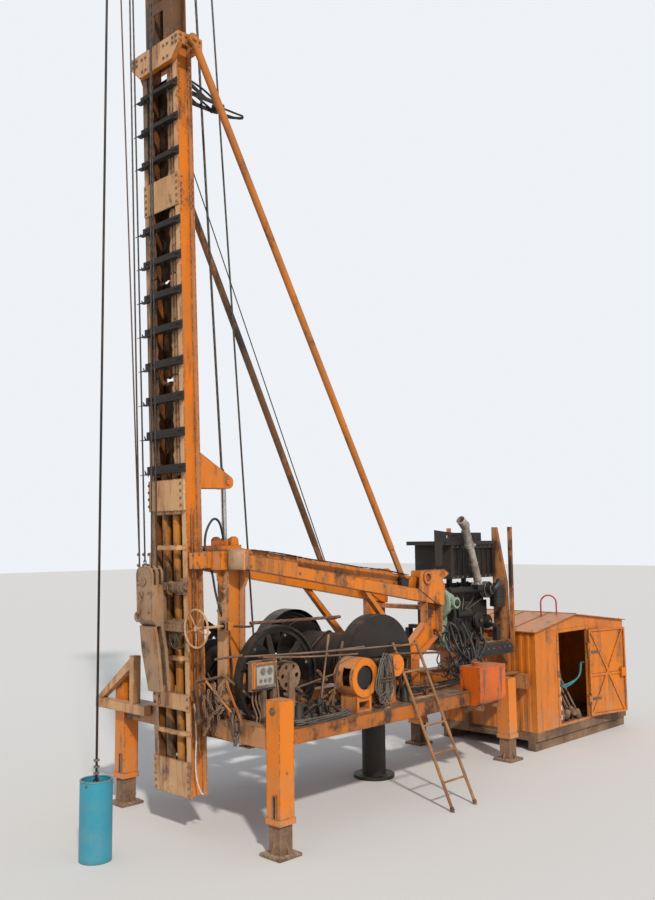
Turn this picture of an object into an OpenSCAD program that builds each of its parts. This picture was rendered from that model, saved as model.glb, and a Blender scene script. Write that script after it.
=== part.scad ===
// Pile driver rig: a leader mast on a winch frame that stands on four box jack legs,
// with a rear engine deck and a tool cabin. +X is forward, +Y is the machine's left, +Z is up.
// Lengths are in millimetres, and the front pair of legs stands at x = 0 before the last shift.

/* [Legs] */
// Distance between the two front legs
leg_track = 2650; // [2400:50:2900]
// Distance between the two rear legs
rear_track = 1560; // [1450:10:1700]
// Distance from the front legs to the rear legs
leg_base = 4700; // [4500:50:5000]
// Outside width of a square leg sleeve
sleeve_w = 190; // [170:5:220]
// Wall of a leg sleeve
sleeve_wall = 12; // [8:1:16]
// Height of the sleeves' lower end above the ground
sleeve_bottom = 300; // [260:10:340]
// Height of the front sleeves' top
sleeve_top = 1460; // [1400:10:1560]
// Gap between an inner leg and its sleeve
leg_play = 3; // [2:1:5]
// Width of a square foot plate
foot_w = 290; // [240:10:340]
// Thickness of a foot plate
foot_t = 30; // [20:5:40]
// Radius of a spike hole in a foot plate
foot_hole_r = 11; // [9:1:14]
// Distance of a spike hole from the leg's centre lines
foot_hole_at = 115; // [112:1:122]

/* [Chassis] */
// Height of the main beams' top
deck_z = 1100; // [1060:10:1140]
// Depth of a main beam
beam_h = 240; // [200:10:280]
// Flange width of a main beam
beam_w = 160; // [140:10:180]
// Flange thickness of a rolled beam
flange_t = 16; // [12:1:20]
// Web thickness of a rolled beam
web_t = 12; // [8:1:16]
// Distance between the two main beams, centre to centre
beam_track = 1100; // [1080:10:1120]
// Distance of the outer stringers from the centre line
stringer_y = 1110; // [1080:10:1130]
// Depth of an outer stringer
stringer_h = 150; // [120:10:180]
// Rear end of the outer stringers
stringer_end = 3350; // [3200:50:3500]
// Thickness of the walkway plates
walk_t = 12; // [8:1:16]
// Rear end of the main beams
chassis_end = 5290; // [5250:10:5330]

/* [Leader mast] */
// Forward rake of the mast in degrees
mast_rake = 1.8; // [1:0.1:2.5]
// Front face of the mast at its foot
mast_foot_x = 290; // [285:5:320]
// Height of the mast's foot
mast_foot_z = 395; // [370:5:420]
// Overall width of the lower mast
mast_w = 640; // [600:10:680]
// Depth of the mast
mast_d = 200; // [180:10:205]
// Flange width of a mast chord
chord_w = 80; // [70:5:90]
// Wall of a mast chord
chord_t = 11; // [9:1:14]
// Length of the lower mast
mast_lower_l = 8060; // [7900:20:8200]
// Overall width of the upper mast
mast_upper_w = 480; // [440:10:520]
// Length of the upper mast
mast_upper_l = 3600; // [3300:50:3900]
// Distance between two rungs
rung_step = 380; // [360:5:400]
// Number of rungs
rung_count = 12; // [8:1:13]
// Distance of the lowest rung from the mast's foot
rung_start = 3330; // [3300:10:3400]
// Depth of a rung
rung_h = 95; // [70:5:110]

/* [Mast head] */
// Radius of a head sheave
sheave_r = 250; // [220:10:270]
// Width of a head sheave
sheave_w = 90; // [70:5:110]
// Distance of the hammer rope from the front legs
hammer_x = 1270; // [1220:10:1300]
// Sideways place of the hammer rope
hammer_y = 106; // [90:2:120]
// Diameter of the drop hammer
hammer_d = 310; // [280:10:340]
// Length of the drop hammer
hammer_l = 740; // [680:20:800]
// Diameter of the hammer rope
rope_d = 24; // [18:2:30]

/* [Lift cylinder and stays] */
// Distance from the mast's rear face to the cylinder's axis
lift_reach = 560; // [540:5:580]
// Outside radius of the cylinder barrel
barrel_r = 62; // [55:1:68]
// Radius of the chrome rod
rod_r = 30; // [26:1:34]
// Length of rod that shows at rest
rod_out = 640; // [600:10:680]
// Outside radius of a stay tube
stay_r = 42; // [36:1:48]
// Distance of the stays from the centre line
stay_y = 490; // [485:5:500]
// Foot of the left stay behind the front legs
stay_left_foot = 2900; // [2800:20:3000]
// Foot of the right stay behind the front legs
stay_right_foot = 2500; // [2400:20:2600]

/* [Winch frame] */
// Height of the side beams' top at the front
side_top_z = 2930; // [2910:5:2950]
// Slope of the side beams' top in degrees
side_slope = 7.7; // [7.2:0.1:8.2]
// Length of a side beam along its slope
side_l = 3550; // [3500:10:3580]
// Depth of a side beam at its front end
side_h = 210; // [204:2:212]
// Depth of a side beam at its rear end
side_h_rear = 324; // [310:2:330]
// Width of a side beam
side_w = 130; // [110:5:140]
// Height of the winch shafts
winch_z = 1570; // [1550:5:1590]
// Front winch shaft behind the front legs
winch_front_x = 480; // [475:5:490]
// Rear winch shaft behind the front legs
winch_rear_x = 2050; // [2000:10:2100]
// Radius of the front winch's brake rims
rim_front_r = 540; // [520:5:545]
// Radius of the rear winch's brake rims
rim_r = 520; // [480:10:530]
// Width of a brake rim
rim_w = 100; // [80:5:110]
// Radius of a drum barrel
drum_r = 210; // [180:10:240]
// Radius of the front drum's flanges
drum_flange_r = 325; // [300:5:330]
// Radius of the rear drum's flanges
rear_flange_r = 430; // [400:5:430]
// Radius of a winch shaft
shaft_r = 45; // [38:1:52]
// Running gap round a shaft
shaft_play = 0.5; // [0.3:0.1:0.8]

/* [Engine deck] */
// Height of the engine deck's top
engine_z = 1560; // [1540:10:1600]
// Front end of the engine deck
engine_x = 3900; // [3860:10:3960]
// Length of the engine block
engine_l = 1050; // [980:10:1100]
// Width of the engine block
engine_w = 560; // [500:10:620]
// Height of the engine block
engine_h = 760; // [700:10:820]
// Radius of the round generator
generator_r = 210; // [190:5:230]

/* [Tool cabin] */
// Front wall of the cabin behind the front legs
cabin_x = 5350; // [5340:5:5400]
// Length of the cabin
cabin_l = 2640; // [2500:20:2800]
// Width of the cabin
cabin_w = 1700; // [1600:20:1800]
// Height of the cabin's floor
cabin_floor = 260; // [220:10:300]
// Height of the cabin's eaves
cabin_eave = 1665; // [1620:5:1720]
// Height of the cabin's ridge
cabin_ridge = 1845; // [1800:5:1900]
// Thickness of the cabin's walls
cabin_wall = 30; // [20:5:40]
// Front edge of the doorway behind the cabin's front wall
door_from = 640; // [600:10:680]
// Width of the doorway
door_w = 820; // [780:10:860]
// Angle of the open door from its closed place
door_open = 166; // [150:1:172]

/* [Ladder] */
// Height of the ladder's upper end
ladder_top = 1780; // [1760:10:1850]
// Distance of the ladder's feet from the centre line
ladder_foot_y = 1690; // [1650:10:1720]
// Width between the ladder's rails
ladder_w = 420; // [380:10:460]
// Place of the ladder behind the front legs
ladder_x = 2450; // [2400:10:2500]

/* [Hidden] */
$fn = 48;

// Colours of the paint and of bare metal
orange = "#e07f1c";
peach = "#d9a871";
rust = "#7c4a2a";
greasy = "#2b2623";
chrome = "#c9ccd0";

// Row frame: the middle of the whole machine seen from above
front_x = hammer_x + hammer_d / 2;
rear_x = -(cabin_x + cabin_l + 40);
left_y = ladder_foot_y + 20;
right_y = -1700;
mid_x = (front_x + rear_x) / 2;
mid_y = (left_y + right_y) / 2;
module row_frame() {
    translate([-mid_x, -mid_y, 0]) children();
}

// Heights on the chassis
beam_mid_z = deck_z - beam_h / 2;
leg_in_w = sleeve_w - 2 * sleeve_wall - 2 * leg_play;

// Each leg: name, x, y, height of the sleeve's top
LEGS = [
    ["leg_foot_front_left", 0, leg_track / 2, sleeve_top],
    ["leg_foot_front_right", 0, -leg_track / 2, sleeve_top],
    ["leg_foot_rear_left", -leg_base, rear_track / 2, deck_z],
    ["leg_foot_rear_right", -leg_base, -rear_track / 2, deck_z]];

// A rolled I beam along +X from the origin, with its centre line on the axis
module i_beam(length, depth, width) {
    translate([0, -width / 2, depth / 2 - flange_t]) cube([length, width, flange_t]);
    translate([0, -width / 2, -depth / 2]) cube([length, width, flange_t]);
    translate([0, -web_t / 2, -depth / 2]) cube([length, web_t, depth]);
}

// An upright I beam on its lower end, with its flanges in front and behind
module i_post(height, depth, width) {
    translate([-depth / 2, -width / 2, 0]) cube([flange_t, width, height]);
    translate([depth / 2 - flange_t, -width / 2, 0]) cube([flange_t, width, height]);
    translate([-depth / 2, -web_t / 2, 0]) cube([depth, web_t, height]);
}

// An upright channel on its lower end, open towards +Y, with the back of its web at y = 0
module channel_post(height, depth, width, wall) {
    linear_extrude(height)
        polygon([[-depth / 2, 0], [depth / 2, 0], [depth / 2, width], [depth / 2 - wall, width],
            [depth / 2 - wall, wall], [-depth / 2 + wall, wall], [-depth / 2 + wall, width],
            [-depth / 2, width]]);
}

// A hollow box section on its lower end
module box_tube(w, height, wall) {
    difference() {
        translate([-w / 2, -w / 2, 0]) cube([w, w, height]);
        translate([-w / 2 + wall, -w / 2 + wall, -1]) cube([w - 2 * wall, w - 2 * wall, height + 2]);
    }
}

// A round bar between two points
module bar(a, b, r) {
    d = b - a;
    len = norm(d);
    translate(a)
        rotate([0, acos(d[2] / len), atan2(d[1], d[0])])
            cylinder(r = r, h = len);
}

// A flat plate in the XZ plane from a list of its corners, centred on y
module side_plate(corners, y, t) {
    translate([0, y + t / 2, 0]) rotate([90, 0, 0]) linear_extrude(t) polygon(corners);
}

// Things on both sides of the centre line
module both_sides() {
    children();
    mirror([0, 1, 0]) children();
}

// Frame of the mast: its foot's front face, with +Z along the raked mast
module on_mast() {
    translate([mast_foot_x, 0, mast_foot_z]) rotate([0, mast_rake, 0]) children();
}

// Chassis
cross_rear = -245;
cross_arm_rear = -90;
cross_front = 70;
cross_z = 1180;
cross_h = 200;
cross_body_w = 1240;
guide_play = 0.8;
// Height of the lift bracket's pin along the mast
bracket_z = 3240;
tank_y = 1000;
module chassis_frame() {
    color(orange) {
        both_sides()
            translate([-chassis_end, beam_track / 2, beam_mid_z]) i_beam(chassis_end - 200, beam_h, beam_w);
        // Outer stringers
        both_sides()
            translate([-stringer_end, stringer_y - 40, deck_z - stringer_h])
                cube([stringer_end + cross_arm_rear + 5, 80, stringer_h]);
        // Front crossbeam between the two front legs, deeper where the posts stand
        translate([cross_arm_rear, -leg_track / 2 + sleeve_w / 2, cross_z - cross_h])
            cube([cross_front - cross_arm_rear, leg_track - sleeve_w, cross_h]);
        translate([cross_rear, -cross_body_w / 2, cross_z - cross_h])
            cube([cross_front - cross_rear, cross_body_w, cross_h]);
        // Lower guides of the mast, on the crossbeam's front
        on_mast()
            both_sides()
                translate([-mast_d - guide_play - 90, mast_w / 2 - 120, 600])
                    cube([90, 150, 150]);
        // Cross members that carry the stringers
        for (x = [-1280, -2830, -3290])
            translate([x - 50, -stringer_y + 40, deck_z - stringer_h])
                cube([100, 2 * (stringer_y - 40), stringer_h - 20]);
        // Rear crossbeam
        translate([-chassis_end, -rear_track / 2, deck_z - beam_h + 20])
            cube([100, rear_track, beam_h - 40]);
        // Bearers of the fuel tank
        for (x = [-stringer_end - 120, -stringer_end - 480])
            translate([x, beam_track / 2, deck_z - 220]) cube([60, tank_y + 280 - beam_track / 2, 60]);
        // Carriers of the rear legs
        both_sides()
            translate([-leg_base - 60, beam_track / 2, deck_z - 200])
                cube([120, rear_track / 2 - sleeve_w / 2 - beam_track / 2, 160]);
    }
}

module walkways() {
    color(rust)
        both_sides()
            translate([-stringer_end, 820, deck_z])
                cube([stringer_end + cross_arm_rear - 0.3, stringer_y + 40 - 820, walk_t]);
}

module leg_sleeves() {
    color(orange)
        for (leg = LEGS)
            translate([leg[1], leg[2], 0]) {
                translate([0, 0, sleeve_bottom]) box_tube(sleeve_w, leg[3] - sleeve_bottom, sleeve_wall);
                translate([0, 0, leg[3] - sleeve_wall])
                    translate([-sleeve_w / 2, -sleeve_w / 2, 0]) cube([sleeve_w, sleeve_w, sleeve_wall]);
                // Collar round the lower end
                translate([0, 0, sleeve_bottom]) difference() {
                    translate([-sleeve_w / 2 - 10, -sleeve_w / 2 - 10, 0])
                        cube([sleeve_w + 20, sleeve_w + 20, 60]);
                    translate([-sleeve_w / 2 + sleeve_wall, -sleeve_w / 2 + sleeve_wall, -1])
                        cube([sleeve_w - 2 * sleeve_wall, sleeve_w - 2 * sleeve_wall, 62]);
                }
            }
}

module leg_foot(leg) {
    inner_top = leg[3] - sleeve_wall - 0.3;
    color(rust)
        translate([leg[1], leg[2], 0]) {
            translate([-leg_in_w / 2, -leg_in_w / 2, foot_t]) cube([leg_in_w, leg_in_w, inner_top - foot_t]);
            difference() {
                translate([-foot_w / 2, -foot_w / 2, 0]) cube([foot_w, foot_w, foot_t]);
                for (x = [-1, 1]) for (y = [-1, 1])
                    translate([x * foot_hole_at, y * foot_hole_at, -1])
                        cylinder(r = foot_hole_r, h = foot_t + 2);
            }
            // Ribs between the plate and the leg
            for (a = [0, 90, 180, 270])
                rotate([0, 0, a]) translate([0, 6, 0]) rotate([90, 0, 0]) linear_extrude(12)
                    polygon([[leg_in_w / 2 - 1, foot_t - 1], [foot_w / 2 - 15, foot_t - 1],
                        [leg_in_w / 2 - 1, foot_t + 110]]);
        }
}

jack_top = deck_z - stringer_h - 0.3;
module centre_jack() {
    color(greasy)
        translate([-2830, 0, 0]) {
            cylinder(r = 260, h = 40);
            cylinder(r = 150, h = jack_top - 60);
            translate([-200, -200, jack_top - 60]) cube([400, 400, 60]);
        }
}

// Triangular wing at the front right leg
module right_wing() {
    x = sleeve_w / 2 + 0.3;
    color(peach) {
        translate([x, right_y, 1080]) cube([90, 1000, 110]);
        translate([x, -1000, 1190]) cube([90, 90, 530]);
        translate([x + 80, 0, 0]) rotate([0, -90, 0]) linear_extrude(70)
            polygon([[1190, -1690], [1190, -1570], [1630, -910], [1720, -910], [1720, -960]]);
    }
}

// Winch frame
post_y = 440;
post_x = -125;
module front_posts() {
    color(orange)
        both_sides() {
            translate([post_x, post_y, cross_z + 0.3]) i_post(post_top_z - cross_z - 0.3, 240, 170);
        }
    // Bracket of the handwheel's shaft
    color(orange)
        difference() {
            translate([post_x + 100, post_y + 40, wheel_z - 45]) cube([90, wheel_y - post_y + 5, 90]);
            translate([0, wheel_y, wheel_z]) rotate([0, 90, 0])
                cylinder(r = 14 + shaft_play, h = 300, center = true);
        }
    // Gussets below the crosshead
    color(orange)
        both_sides() {
            side_plate([[post_x + 119, crosshead_z - 0.3], [post_x + 119, crosshead_z - 330],
                [post_x + 200, crosshead_z - 60], [post_x + 200, crosshead_z - 0.3]], post_y, 14);
            side_plate([[post_x - 119, side_under_z(post_x - 119) - 0.3], [post_x - 119, crosshead_z - 330],
                [post_x - 240, crosshead_z - 90],
                [post_x - 240, side_under_z(post_x - 240) - 0.3]], post_y, 14);
        }
}

crosshead_z = 2700;
crosshead_h = 210;
crosshead_back = -322;
crosshead_front = -10;
box_reach = 110;
ear_y = barrel_r + 69;
ear_r = 55;
guide_z = crosshead_z - mast_foot_z + 15;
collar_z = bracket_z - rod_out - 60;
module crosshead() {
    reach = side_y - side_w / 2 - 0.3;
    color(orange) {
        translate([crosshead_back, -reach, crosshead_z])
            cube([crosshead_front - crosshead_back, 2 * reach, crosshead_h]);
        both_sides() {
            // Square box ends in front
            translate([crosshead_front - 1, 290, crosshead_z]) cube([box_reach, 240, crosshead_h - 15]);
            // Faceted caps in front of the side beams
            translate([0, 0, crosshead_z]) linear_extrude(crosshead_h)
                polygon([[side_x0, reach - 20], [side_x0, 575], [-125, 690], [-85, 720], [-20, 640],
                    [crosshead_front, reach - 20]]);
        }
        on_mast()
            both_sides() {
                // Guides behind the mast's rear flanges
                translate([-mast_d - guide_play - 240, mast_w / 2 - 115, guide_z])
                    cube([240, 190, crosshead_h - 40]);
                // Jaws beside the chords
                translate([-mast_d - guide_play - 60, mast_w / 2 + guide_play, guide_z])
                    cube([240, 70, crosshead_h - 40]);
                // Arms that carry the lift cylinder
                translate([-mast_d - lift_reach - 90, barrel_r + 8, collar_z - 0.3 - 200])
                    cube([330, ear_y + 50 - barrel_r - 8, 200]);
                // Round-topped ears beside the cylinder's collar, in pairs
                for (y = [ear_y + 7, ear_y + 38])
                    translate([-mast_d - lift_reach, 0, collar_z]) {
                        side_plate([[-ear_r, -20], [ear_r, -20], [ear_r, 40], [-ear_r, 40]], y, 14);
                        translate([0, y - 7, 40]) rotate([-90, 0, 0]) cylinder(r = ear_r, h = 14);
                    }
            }
    }
}

// Front face of the mast at a height
function mast_front(z) = mast_foot_x + (z - mast_foot_z) * tan(mast_rake);

side_x0 = -150;
side_y = 490;
module on_side_beam(y) {
    translate([side_x0, y, side_top_z]) rotate([0, -side_slope, 0]) mirror([1, 0, 0]) children();
}
slot_from = 860;
slot_to = side_l - 120;
slot_w = 74;
slot_deep = 190;
// How far the outer cheek lies below the inner one: in front, behind the step, at the rear end
cheek_front = 62;
cheek_step = 104;
cheek_rear = 172;
module side_beams() {
    color(orange)
        both_sides()
            on_side_beam(side_y) {
                difference() {
                    side_plate([[0.3 + side_h * tan(side_slope), -side_h],
                        [0.3 + 30 * tan(side_slope), -30], [50, 0],
                        [side_l, 0], [side_l, -side_h_rear]], 0, side_w);
                    // Slot for the foot of the stay
                    translate([slot_from, -slot_w / 2, -slot_deep])
                        cube([slot_to - slot_from, slot_w, 2 * slot_deep]);
                    // Lowered outer cheek
                    side_plate([[-10, 10], [-10, -cheek_front], [slot_from, -cheek_front],
                        [slot_from, -cheek_step],
                        [side_l + 10, -cheek_rear], [side_l + 10, 10]], slot_w / 2 + side_w / 2, side_w);
                }
                // End plates with a round boss, outside the beam
                for (side = [-1, 1])
                    difference() {
                        union() {
                            side_plate([[side_l - 530, -160], [side_l - 530, 72], [side_l - 28, 147],
                                [side_l + 75, 100],
                                [side_l - 60, 0], [side_l + 5, -55], [side_l + 5, -side_h_rear],
                                [side_l - 120, -side_h_rear]],
                                side * (side_w / 2 + 6), 12);
                            translate([side_l - 380, side * (side_w / 2 + 12), 0]) rotate([90, 0, 0])
                                cylinder(r = 85, h = 44, center = true);
                        }
                        translate([side_l - 380, side * (side_w / 2 + 22), 0]) rotate([90, 0, 0])
                            cylinder(r = 52, h = 40, center = true);
                    }
            }
}

// Underside of a side beam at a distance along the machine
under_slope = side_slope + atan((side_h_rear - side_h) / side_l);
function side_under_z(x) = side_top_z - side_h * cos(side_slope)
    - (side_x0 + side_h * sin(side_slope) - x) * tan(under_slope);
// Top of the front posts, below the crosshead and the side beams
post_top_z = min(crosshead_z, side_under_z(post_x - 120)) - 0.3;

// Outline of a rear post from the deck to the side beam, drawn in by t at its front and rear edges
function post_corners(t) = [[-2900 - t, deck_z], [-2870 - t, 1630], [-3280 - t, 1930],
    [-3280 - t, side_under_z(-3280 - t) - 0.3], [-3610 + t, side_under_z(-3610 + t) - 0.3],
    [-3610 + t, 1790], [-3110 + t, 1480], [-3110 + t, deck_z]];
module rear_trestle() {
    color(orange)
        both_sides() {
            // Bent posts as channels, open to the outer side
            difference() {
                side_plate(post_corners(0), 500, 110);
                side_plate(post_corners(22), 514, 110);
            }
            // Long brace
            side_plate([[-2110, side_under_z(-2110) - 0.3], [-2205, side_under_z(-2205) - 0.3],
                [-2935, 1665], [-2880, 1600]], 500, 70);
            translate([-3150, 440, deck_z]) cube([290, 120, 14]);
        }
    // Tie between the two posts
    color(orange)
        translate([-3600, -450, side_under_z(-3600) - 60]) cube([180, 900, 50]);
}

// Mast
// Thickness of the head plate on the lower mast
cap_t = 20;
module mast_chords() {
    color(orange)
        on_mast() {
            both_sides()
                translate([-mast_d / 2, mast_w / 2 - chord_w, 0])
                    channel_post(mast_lower_l, mast_d, chord_w, chord_t);
            // Head plate that carries the upper mast
            translate([-mast_d, -mast_w / 2, mast_lower_l]) cube([mast_d, mast_w, cap_t]);
        }
}

// Flat plates on the mast's front: height of the lower edge, height of the plate, thickness
PLATES = [[0, 360, 14], [870, 170, 12], [6200, 360, 10]];
// Bent straps on the mast's front: height of the lower edge, how far the middle stands out
STRAPS = [[620, 26], [1380, 30], [2520, 34]];
cover_z = 2930;
cover_h = 330;
cover_out = 40;
// Heights of the ties at the mast's back
TIES = [150, 1400, 3900, 5000, 6100, 7300];
module mast_plates() {
    color(peach)
        on_mast() {
            for (p = PLATES)
                translate([0.3, -mast_w / 2, p[0]]) cube([p[2], mast_w, p[1]]);
            for (s = STRAPS) strap(s[1], s[0]);
            cover_plate();
        }
    // Ties at the back
    color(orange)
        on_mast()
            for (z = TIES)
                translate([-mast_d - 10.3, -mast_w / 2 + 40, z]) cube([10, mast_w - 80, 160]);
    // Floor that the pipes stand on
    color(orange)
        on_mast()
            translate([-mast_d + 15, -mast_w / 2 + chord_w + 0.3, 60])
                cube([mast_d - 30, mast_w - 2 * chord_w - 0.6, 20]);
}

// A strap across the mast's front, bent outwards between the chords
strap_h = 50;
strap_t = 8;
module strap(out, z) {
    inner = [[0.3, -mast_w / 2], [0.3, -mast_w / 2 + chord_w], [out, -mast_w / 2 + chord_w + 50],
        [out, mast_w / 2 - chord_w - 50], [0.3, mast_w / 2 - chord_w], [0.3, mast_w / 2]];
    outer = [for (i = [5:-1:0]) [inner[i][0] + strap_t, inner[i][1]]];
    translate([0, 0, z]) linear_extrude(strap_h) polygon(concat(inner, outer));
}

// Thick cover plate with a rounded right edge and a folded lip below
module cover_plate() {
    translate([0.3, -mast_w / 2 + cover_out, cover_z]) cube([cover_out, mast_w - cover_out, cover_h]);
    intersection() {
        translate([0.3, -mast_w / 2 + cover_out, cover_z]) cylinder(r = cover_out, h = cover_h);
        translate([0.3, -mast_w / 2, cover_z]) cube([cover_out, 2 * cover_out, cover_h]);
    }
    translate([0.3, -mast_w / 2 + chord_w, cover_z - 40]) cube([strap_t, mast_w - 2 * chord_w, 41]);
}

rung_missing = 8;
module mast_rungs() {
    color(greasy)
        on_mast()
            for (i = [0:rung_count - 1]) if (i != rung_missing)
                translate([0.3, -mast_w / 2 - 40, rung_start + i * rung_step]) {
                    cube([8, mast_w + 50, rung_h]);
                    cube([70, mast_w + 50, 8]);
                }
}

module mast_pipes() {
    color(orange)
        on_mast()
            for (y = [-115, 75])
                translate([-65, y, 80.3]) cylinder(r = 48, h = 3300);
}

module mast_upper() {
    chord = 150;
    color(orange)
        on_mast()
            translate([0, 0, mast_lower_l]) {
                both_sides()
                    translate([-mast_d / 2, mast_upper_w / 2 - chord / 2, cap_t + 0.3])
                        i_post(mast_upper_l - cap_t, mast_d, chord);
                // Battens on both faces
                for (z = [400:700:mast_upper_l - 300]) for (x = [-10, -mast_d])
                    translate([x, -mast_upper_w / 2 + chord - 2, z])
                        cube([10, mast_upper_w - 2 * chord + 4, 120]);
            }
}

yoke_h = 270;
yoke_z = mast_lower_l - yoke_h;
yoke_w = 880;
yoke_bar = 60;
cheek_t = 24;
cheek_h = 130;
stay_pin_x = -mast_d / 2;
stay_pin_r = 25;
module mast_yoke() {
    color(orange)
        on_mast()
            translate([0, 0, yoke_z]) {
                // Front bar, deep in the middle
                translate([0.3, 0, 0]) rotate([90, 0, 90]) linear_extrude(yoke_bar)
                    polygon([[-mast_w / 2 + 20, 0], [mast_w / 2 - 20, 0], [yoke_w / 2, yoke_h - cheek_h],
                        [yoke_w / 2, yoke_h], [-yoke_w / 2, yoke_h], [-yoke_w / 2, yoke_h - cheek_h]]);
                // Rear bar
                translate([-mast_d - yoke_bar - 0.3, -yoke_w / 2, yoke_h - cheek_h])
                    cube([yoke_bar, yoke_w, cheek_h]);
                // Side cheeks with the stays' pins
                both_sides() {
                    translate([-mast_d - yoke_bar - 0.3, yoke_w / 2 - cheek_t, yoke_h - cheek_h])
                        cube([mast_d + 2 * yoke_bar + 0.6, cheek_t, cheek_h]);
                    translate([stay_pin_x, yoke_w / 2 - cheek_t, yoke_h - cheek_h / 2]) rotate([-90, 0, 0])
                        cylinder(r = stay_pin_r, h = stay_y + 40 - yoke_w / 2 + cheek_t);
                }
            }
}

head_z = mast_lower_l + mast_upper_l;
head_world_z = mast_foot_z + head_z * cos(mast_rake);
head_axle_z = head_world_z + sheave_r + 60;
groove_deep = 45;
rope_gap = 12;
front_sheave_x = hammer_x - rope_d / 2 - rope_gap - (sheave_r - groove_deep);
rear_sheave_x = 360;
lug_reach = 310;
lug_r = 27;
module mast_head() {
    color(orange) {
        for (y = [hammer_y - sheave_w / 2 - 26, hammer_y + sheave_w / 2 + 10])
            difference() {
                side_plate([[rear_sheave_x - 160, head_world_z + 20], [front_sheave_x - 300, head_world_z + 20],
                    [front_sheave_x + 120, head_axle_z - 90], [front_sheave_x + 120, head_axle_z + 90],
                    [rear_sheave_x - lug_reach - 60, head_axle_z + 90],
                    [rear_sheave_x - lug_reach - 60, head_axle_z - 40]], y + 8, 16);
                // Eye for lifting the mast
                translate([rear_sheave_x - lug_reach, y - 10, head_axle_z + 20]) rotate([-90, 0, 0])
                    cylinder(r = lug_r, h = 40);
                for (x = [front_sheave_x, rear_sheave_x])
                    translate([x, y - 10, head_axle_z]) rotate([-90, 0, 0]) cylinder(r = 30, h = 40);
            }
        // Pins of the sheaves
        for (x = [front_sheave_x, rear_sheave_x])
            translate([x, hammer_y - sheave_w / 2 - 40, head_axle_z]) rotate([-90, 0, 0])
                cylinder(r = 30, h = sheave_w + 80);
        // Seat on the upper mast
        on_mast() translate([-mast_d - 10, -mast_upper_w / 2 - 10, head_z + 0.6])
            cube([mast_d + 20, mast_upper_w + 20, 40]);
    }
}

module sheave(x) {
    color(greasy)
        translate([x, hammer_y, head_axle_z]) rotate([90, 0, 0])
            rotate_extrude()
                polygon([[30 + shaft_play, -sheave_w / 2], [sheave_r, -sheave_w / 2],
                    [sheave_r, -sheave_w / 2 + 8],
                    [sheave_r - groove_deep, -rope_d / 2 - 7], [sheave_r - groove_deep, rope_d / 2 + 7],
                    [sheave_r, sheave_w / 2 - 8], [sheave_r, sheave_w / 2], [30 + shaft_play, sheave_w / 2]]);
}

outrigger_z = 7560;
module rope_outrigger() {
    color(greasy)
        on_mast()
            translate([-mast_d, 0, outrigger_z]) {
                translate([-0.3 - 12, -mast_w / 2 + 40, 0]) cube([12, mast_w - 80, 260]);
                both_sides() {
                    side_plate([[-12, 40], [-12, 100], [-640, 70], [-640, 30]], 90, 12);
                    side_plate([[-12, 260], [-12, 200], [-330, 62], [-420, 62]], 90, 12);
                }
                translate([-600, -96, 50]) rotate([-90, 0, 0]) cylinder(r = 22, h = 192);
            }
}

// Vertical cylinder behind the mast
module lift_bracket() {
    color(orange)
        on_mast()
            translate([-mast_d, 0, bracket_z]) {
                translate([-20.3, -mast_w / 2 + 40, -220]) cube([20, mast_w - 80, 660]);
                for (y = [-75, 75])
                    difference() {
                        union() {
                            side_plate([[-20, -215], [-20, 420], [-lift_reach - 25, 70],
                                [-lift_reach, -70], [-175, -70]],
                                y, 30);
                            translate([-lift_reach, y - 15, 0]) rotate([-90, 0, 0]) cylinder(r = 74, h = 30);
                        }
                        translate([-lift_reach, y - 20, 0]) rotate([-90, 0, 0]) cylinder(r = 34, h = 40);
                    }
                // Top plate between the arms, and the pin
                side_plate([[-20, 400], [-20, 420], [-lift_reach + 30, 107], [-lift_reach + 30, 87]], 0, 140);
                translate([-lift_reach, -100, 0]) rotate([-90, 0, 0]) cylinder(r = 34, h = 200);
            }
}

barrel_l = 900;
rod_in = 450;
module lift_cylinder() {
    color(orange)
        on_mast()
            translate([-mast_d - lift_reach, 0, bracket_z - rod_out])
                difference() {
                    union() {
                        translate([0, 0, -barrel_l]) cylinder(r = barrel_r, h = barrel_l);
                        translate([-90, -barrel_r - 68, -60]) cube([180, 2 * barrel_r + 136, 60]);
                    }
                    translate([0, 0, -barrel_l + 20]) cylinder(r = rod_r + shaft_play, h = barrel_l);
                }
}

module lift_rod() {
    color(chrome)
        on_mast()
            translate([-mast_d - lift_reach, 0, bracket_z]) {
                translate([0, 0, -rod_out - rod_in]) cylinder(r = rod_r, h = rod_out + rod_in - 60);
                rotate([90, 0, 0]) translate([0, 0, -40]) difference() {
                    cylinder(r = 70, h = 80);
                    translate([0, 0, -1]) cylinder(r = 34 + 3, h = 82);
                }
            }
}

// A point of the mast's frame, as x and z of the machine
function mast_point(x, z) = [mast_foot_x + x * cos(mast_rake) + z * sin(mast_rake),
    mast_foot_z - x * sin(mast_rake) + z * cos(mast_rake)];
function side_beam_z(x) = side_top_z - (side_x0 - x) * tan(side_slope);

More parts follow.
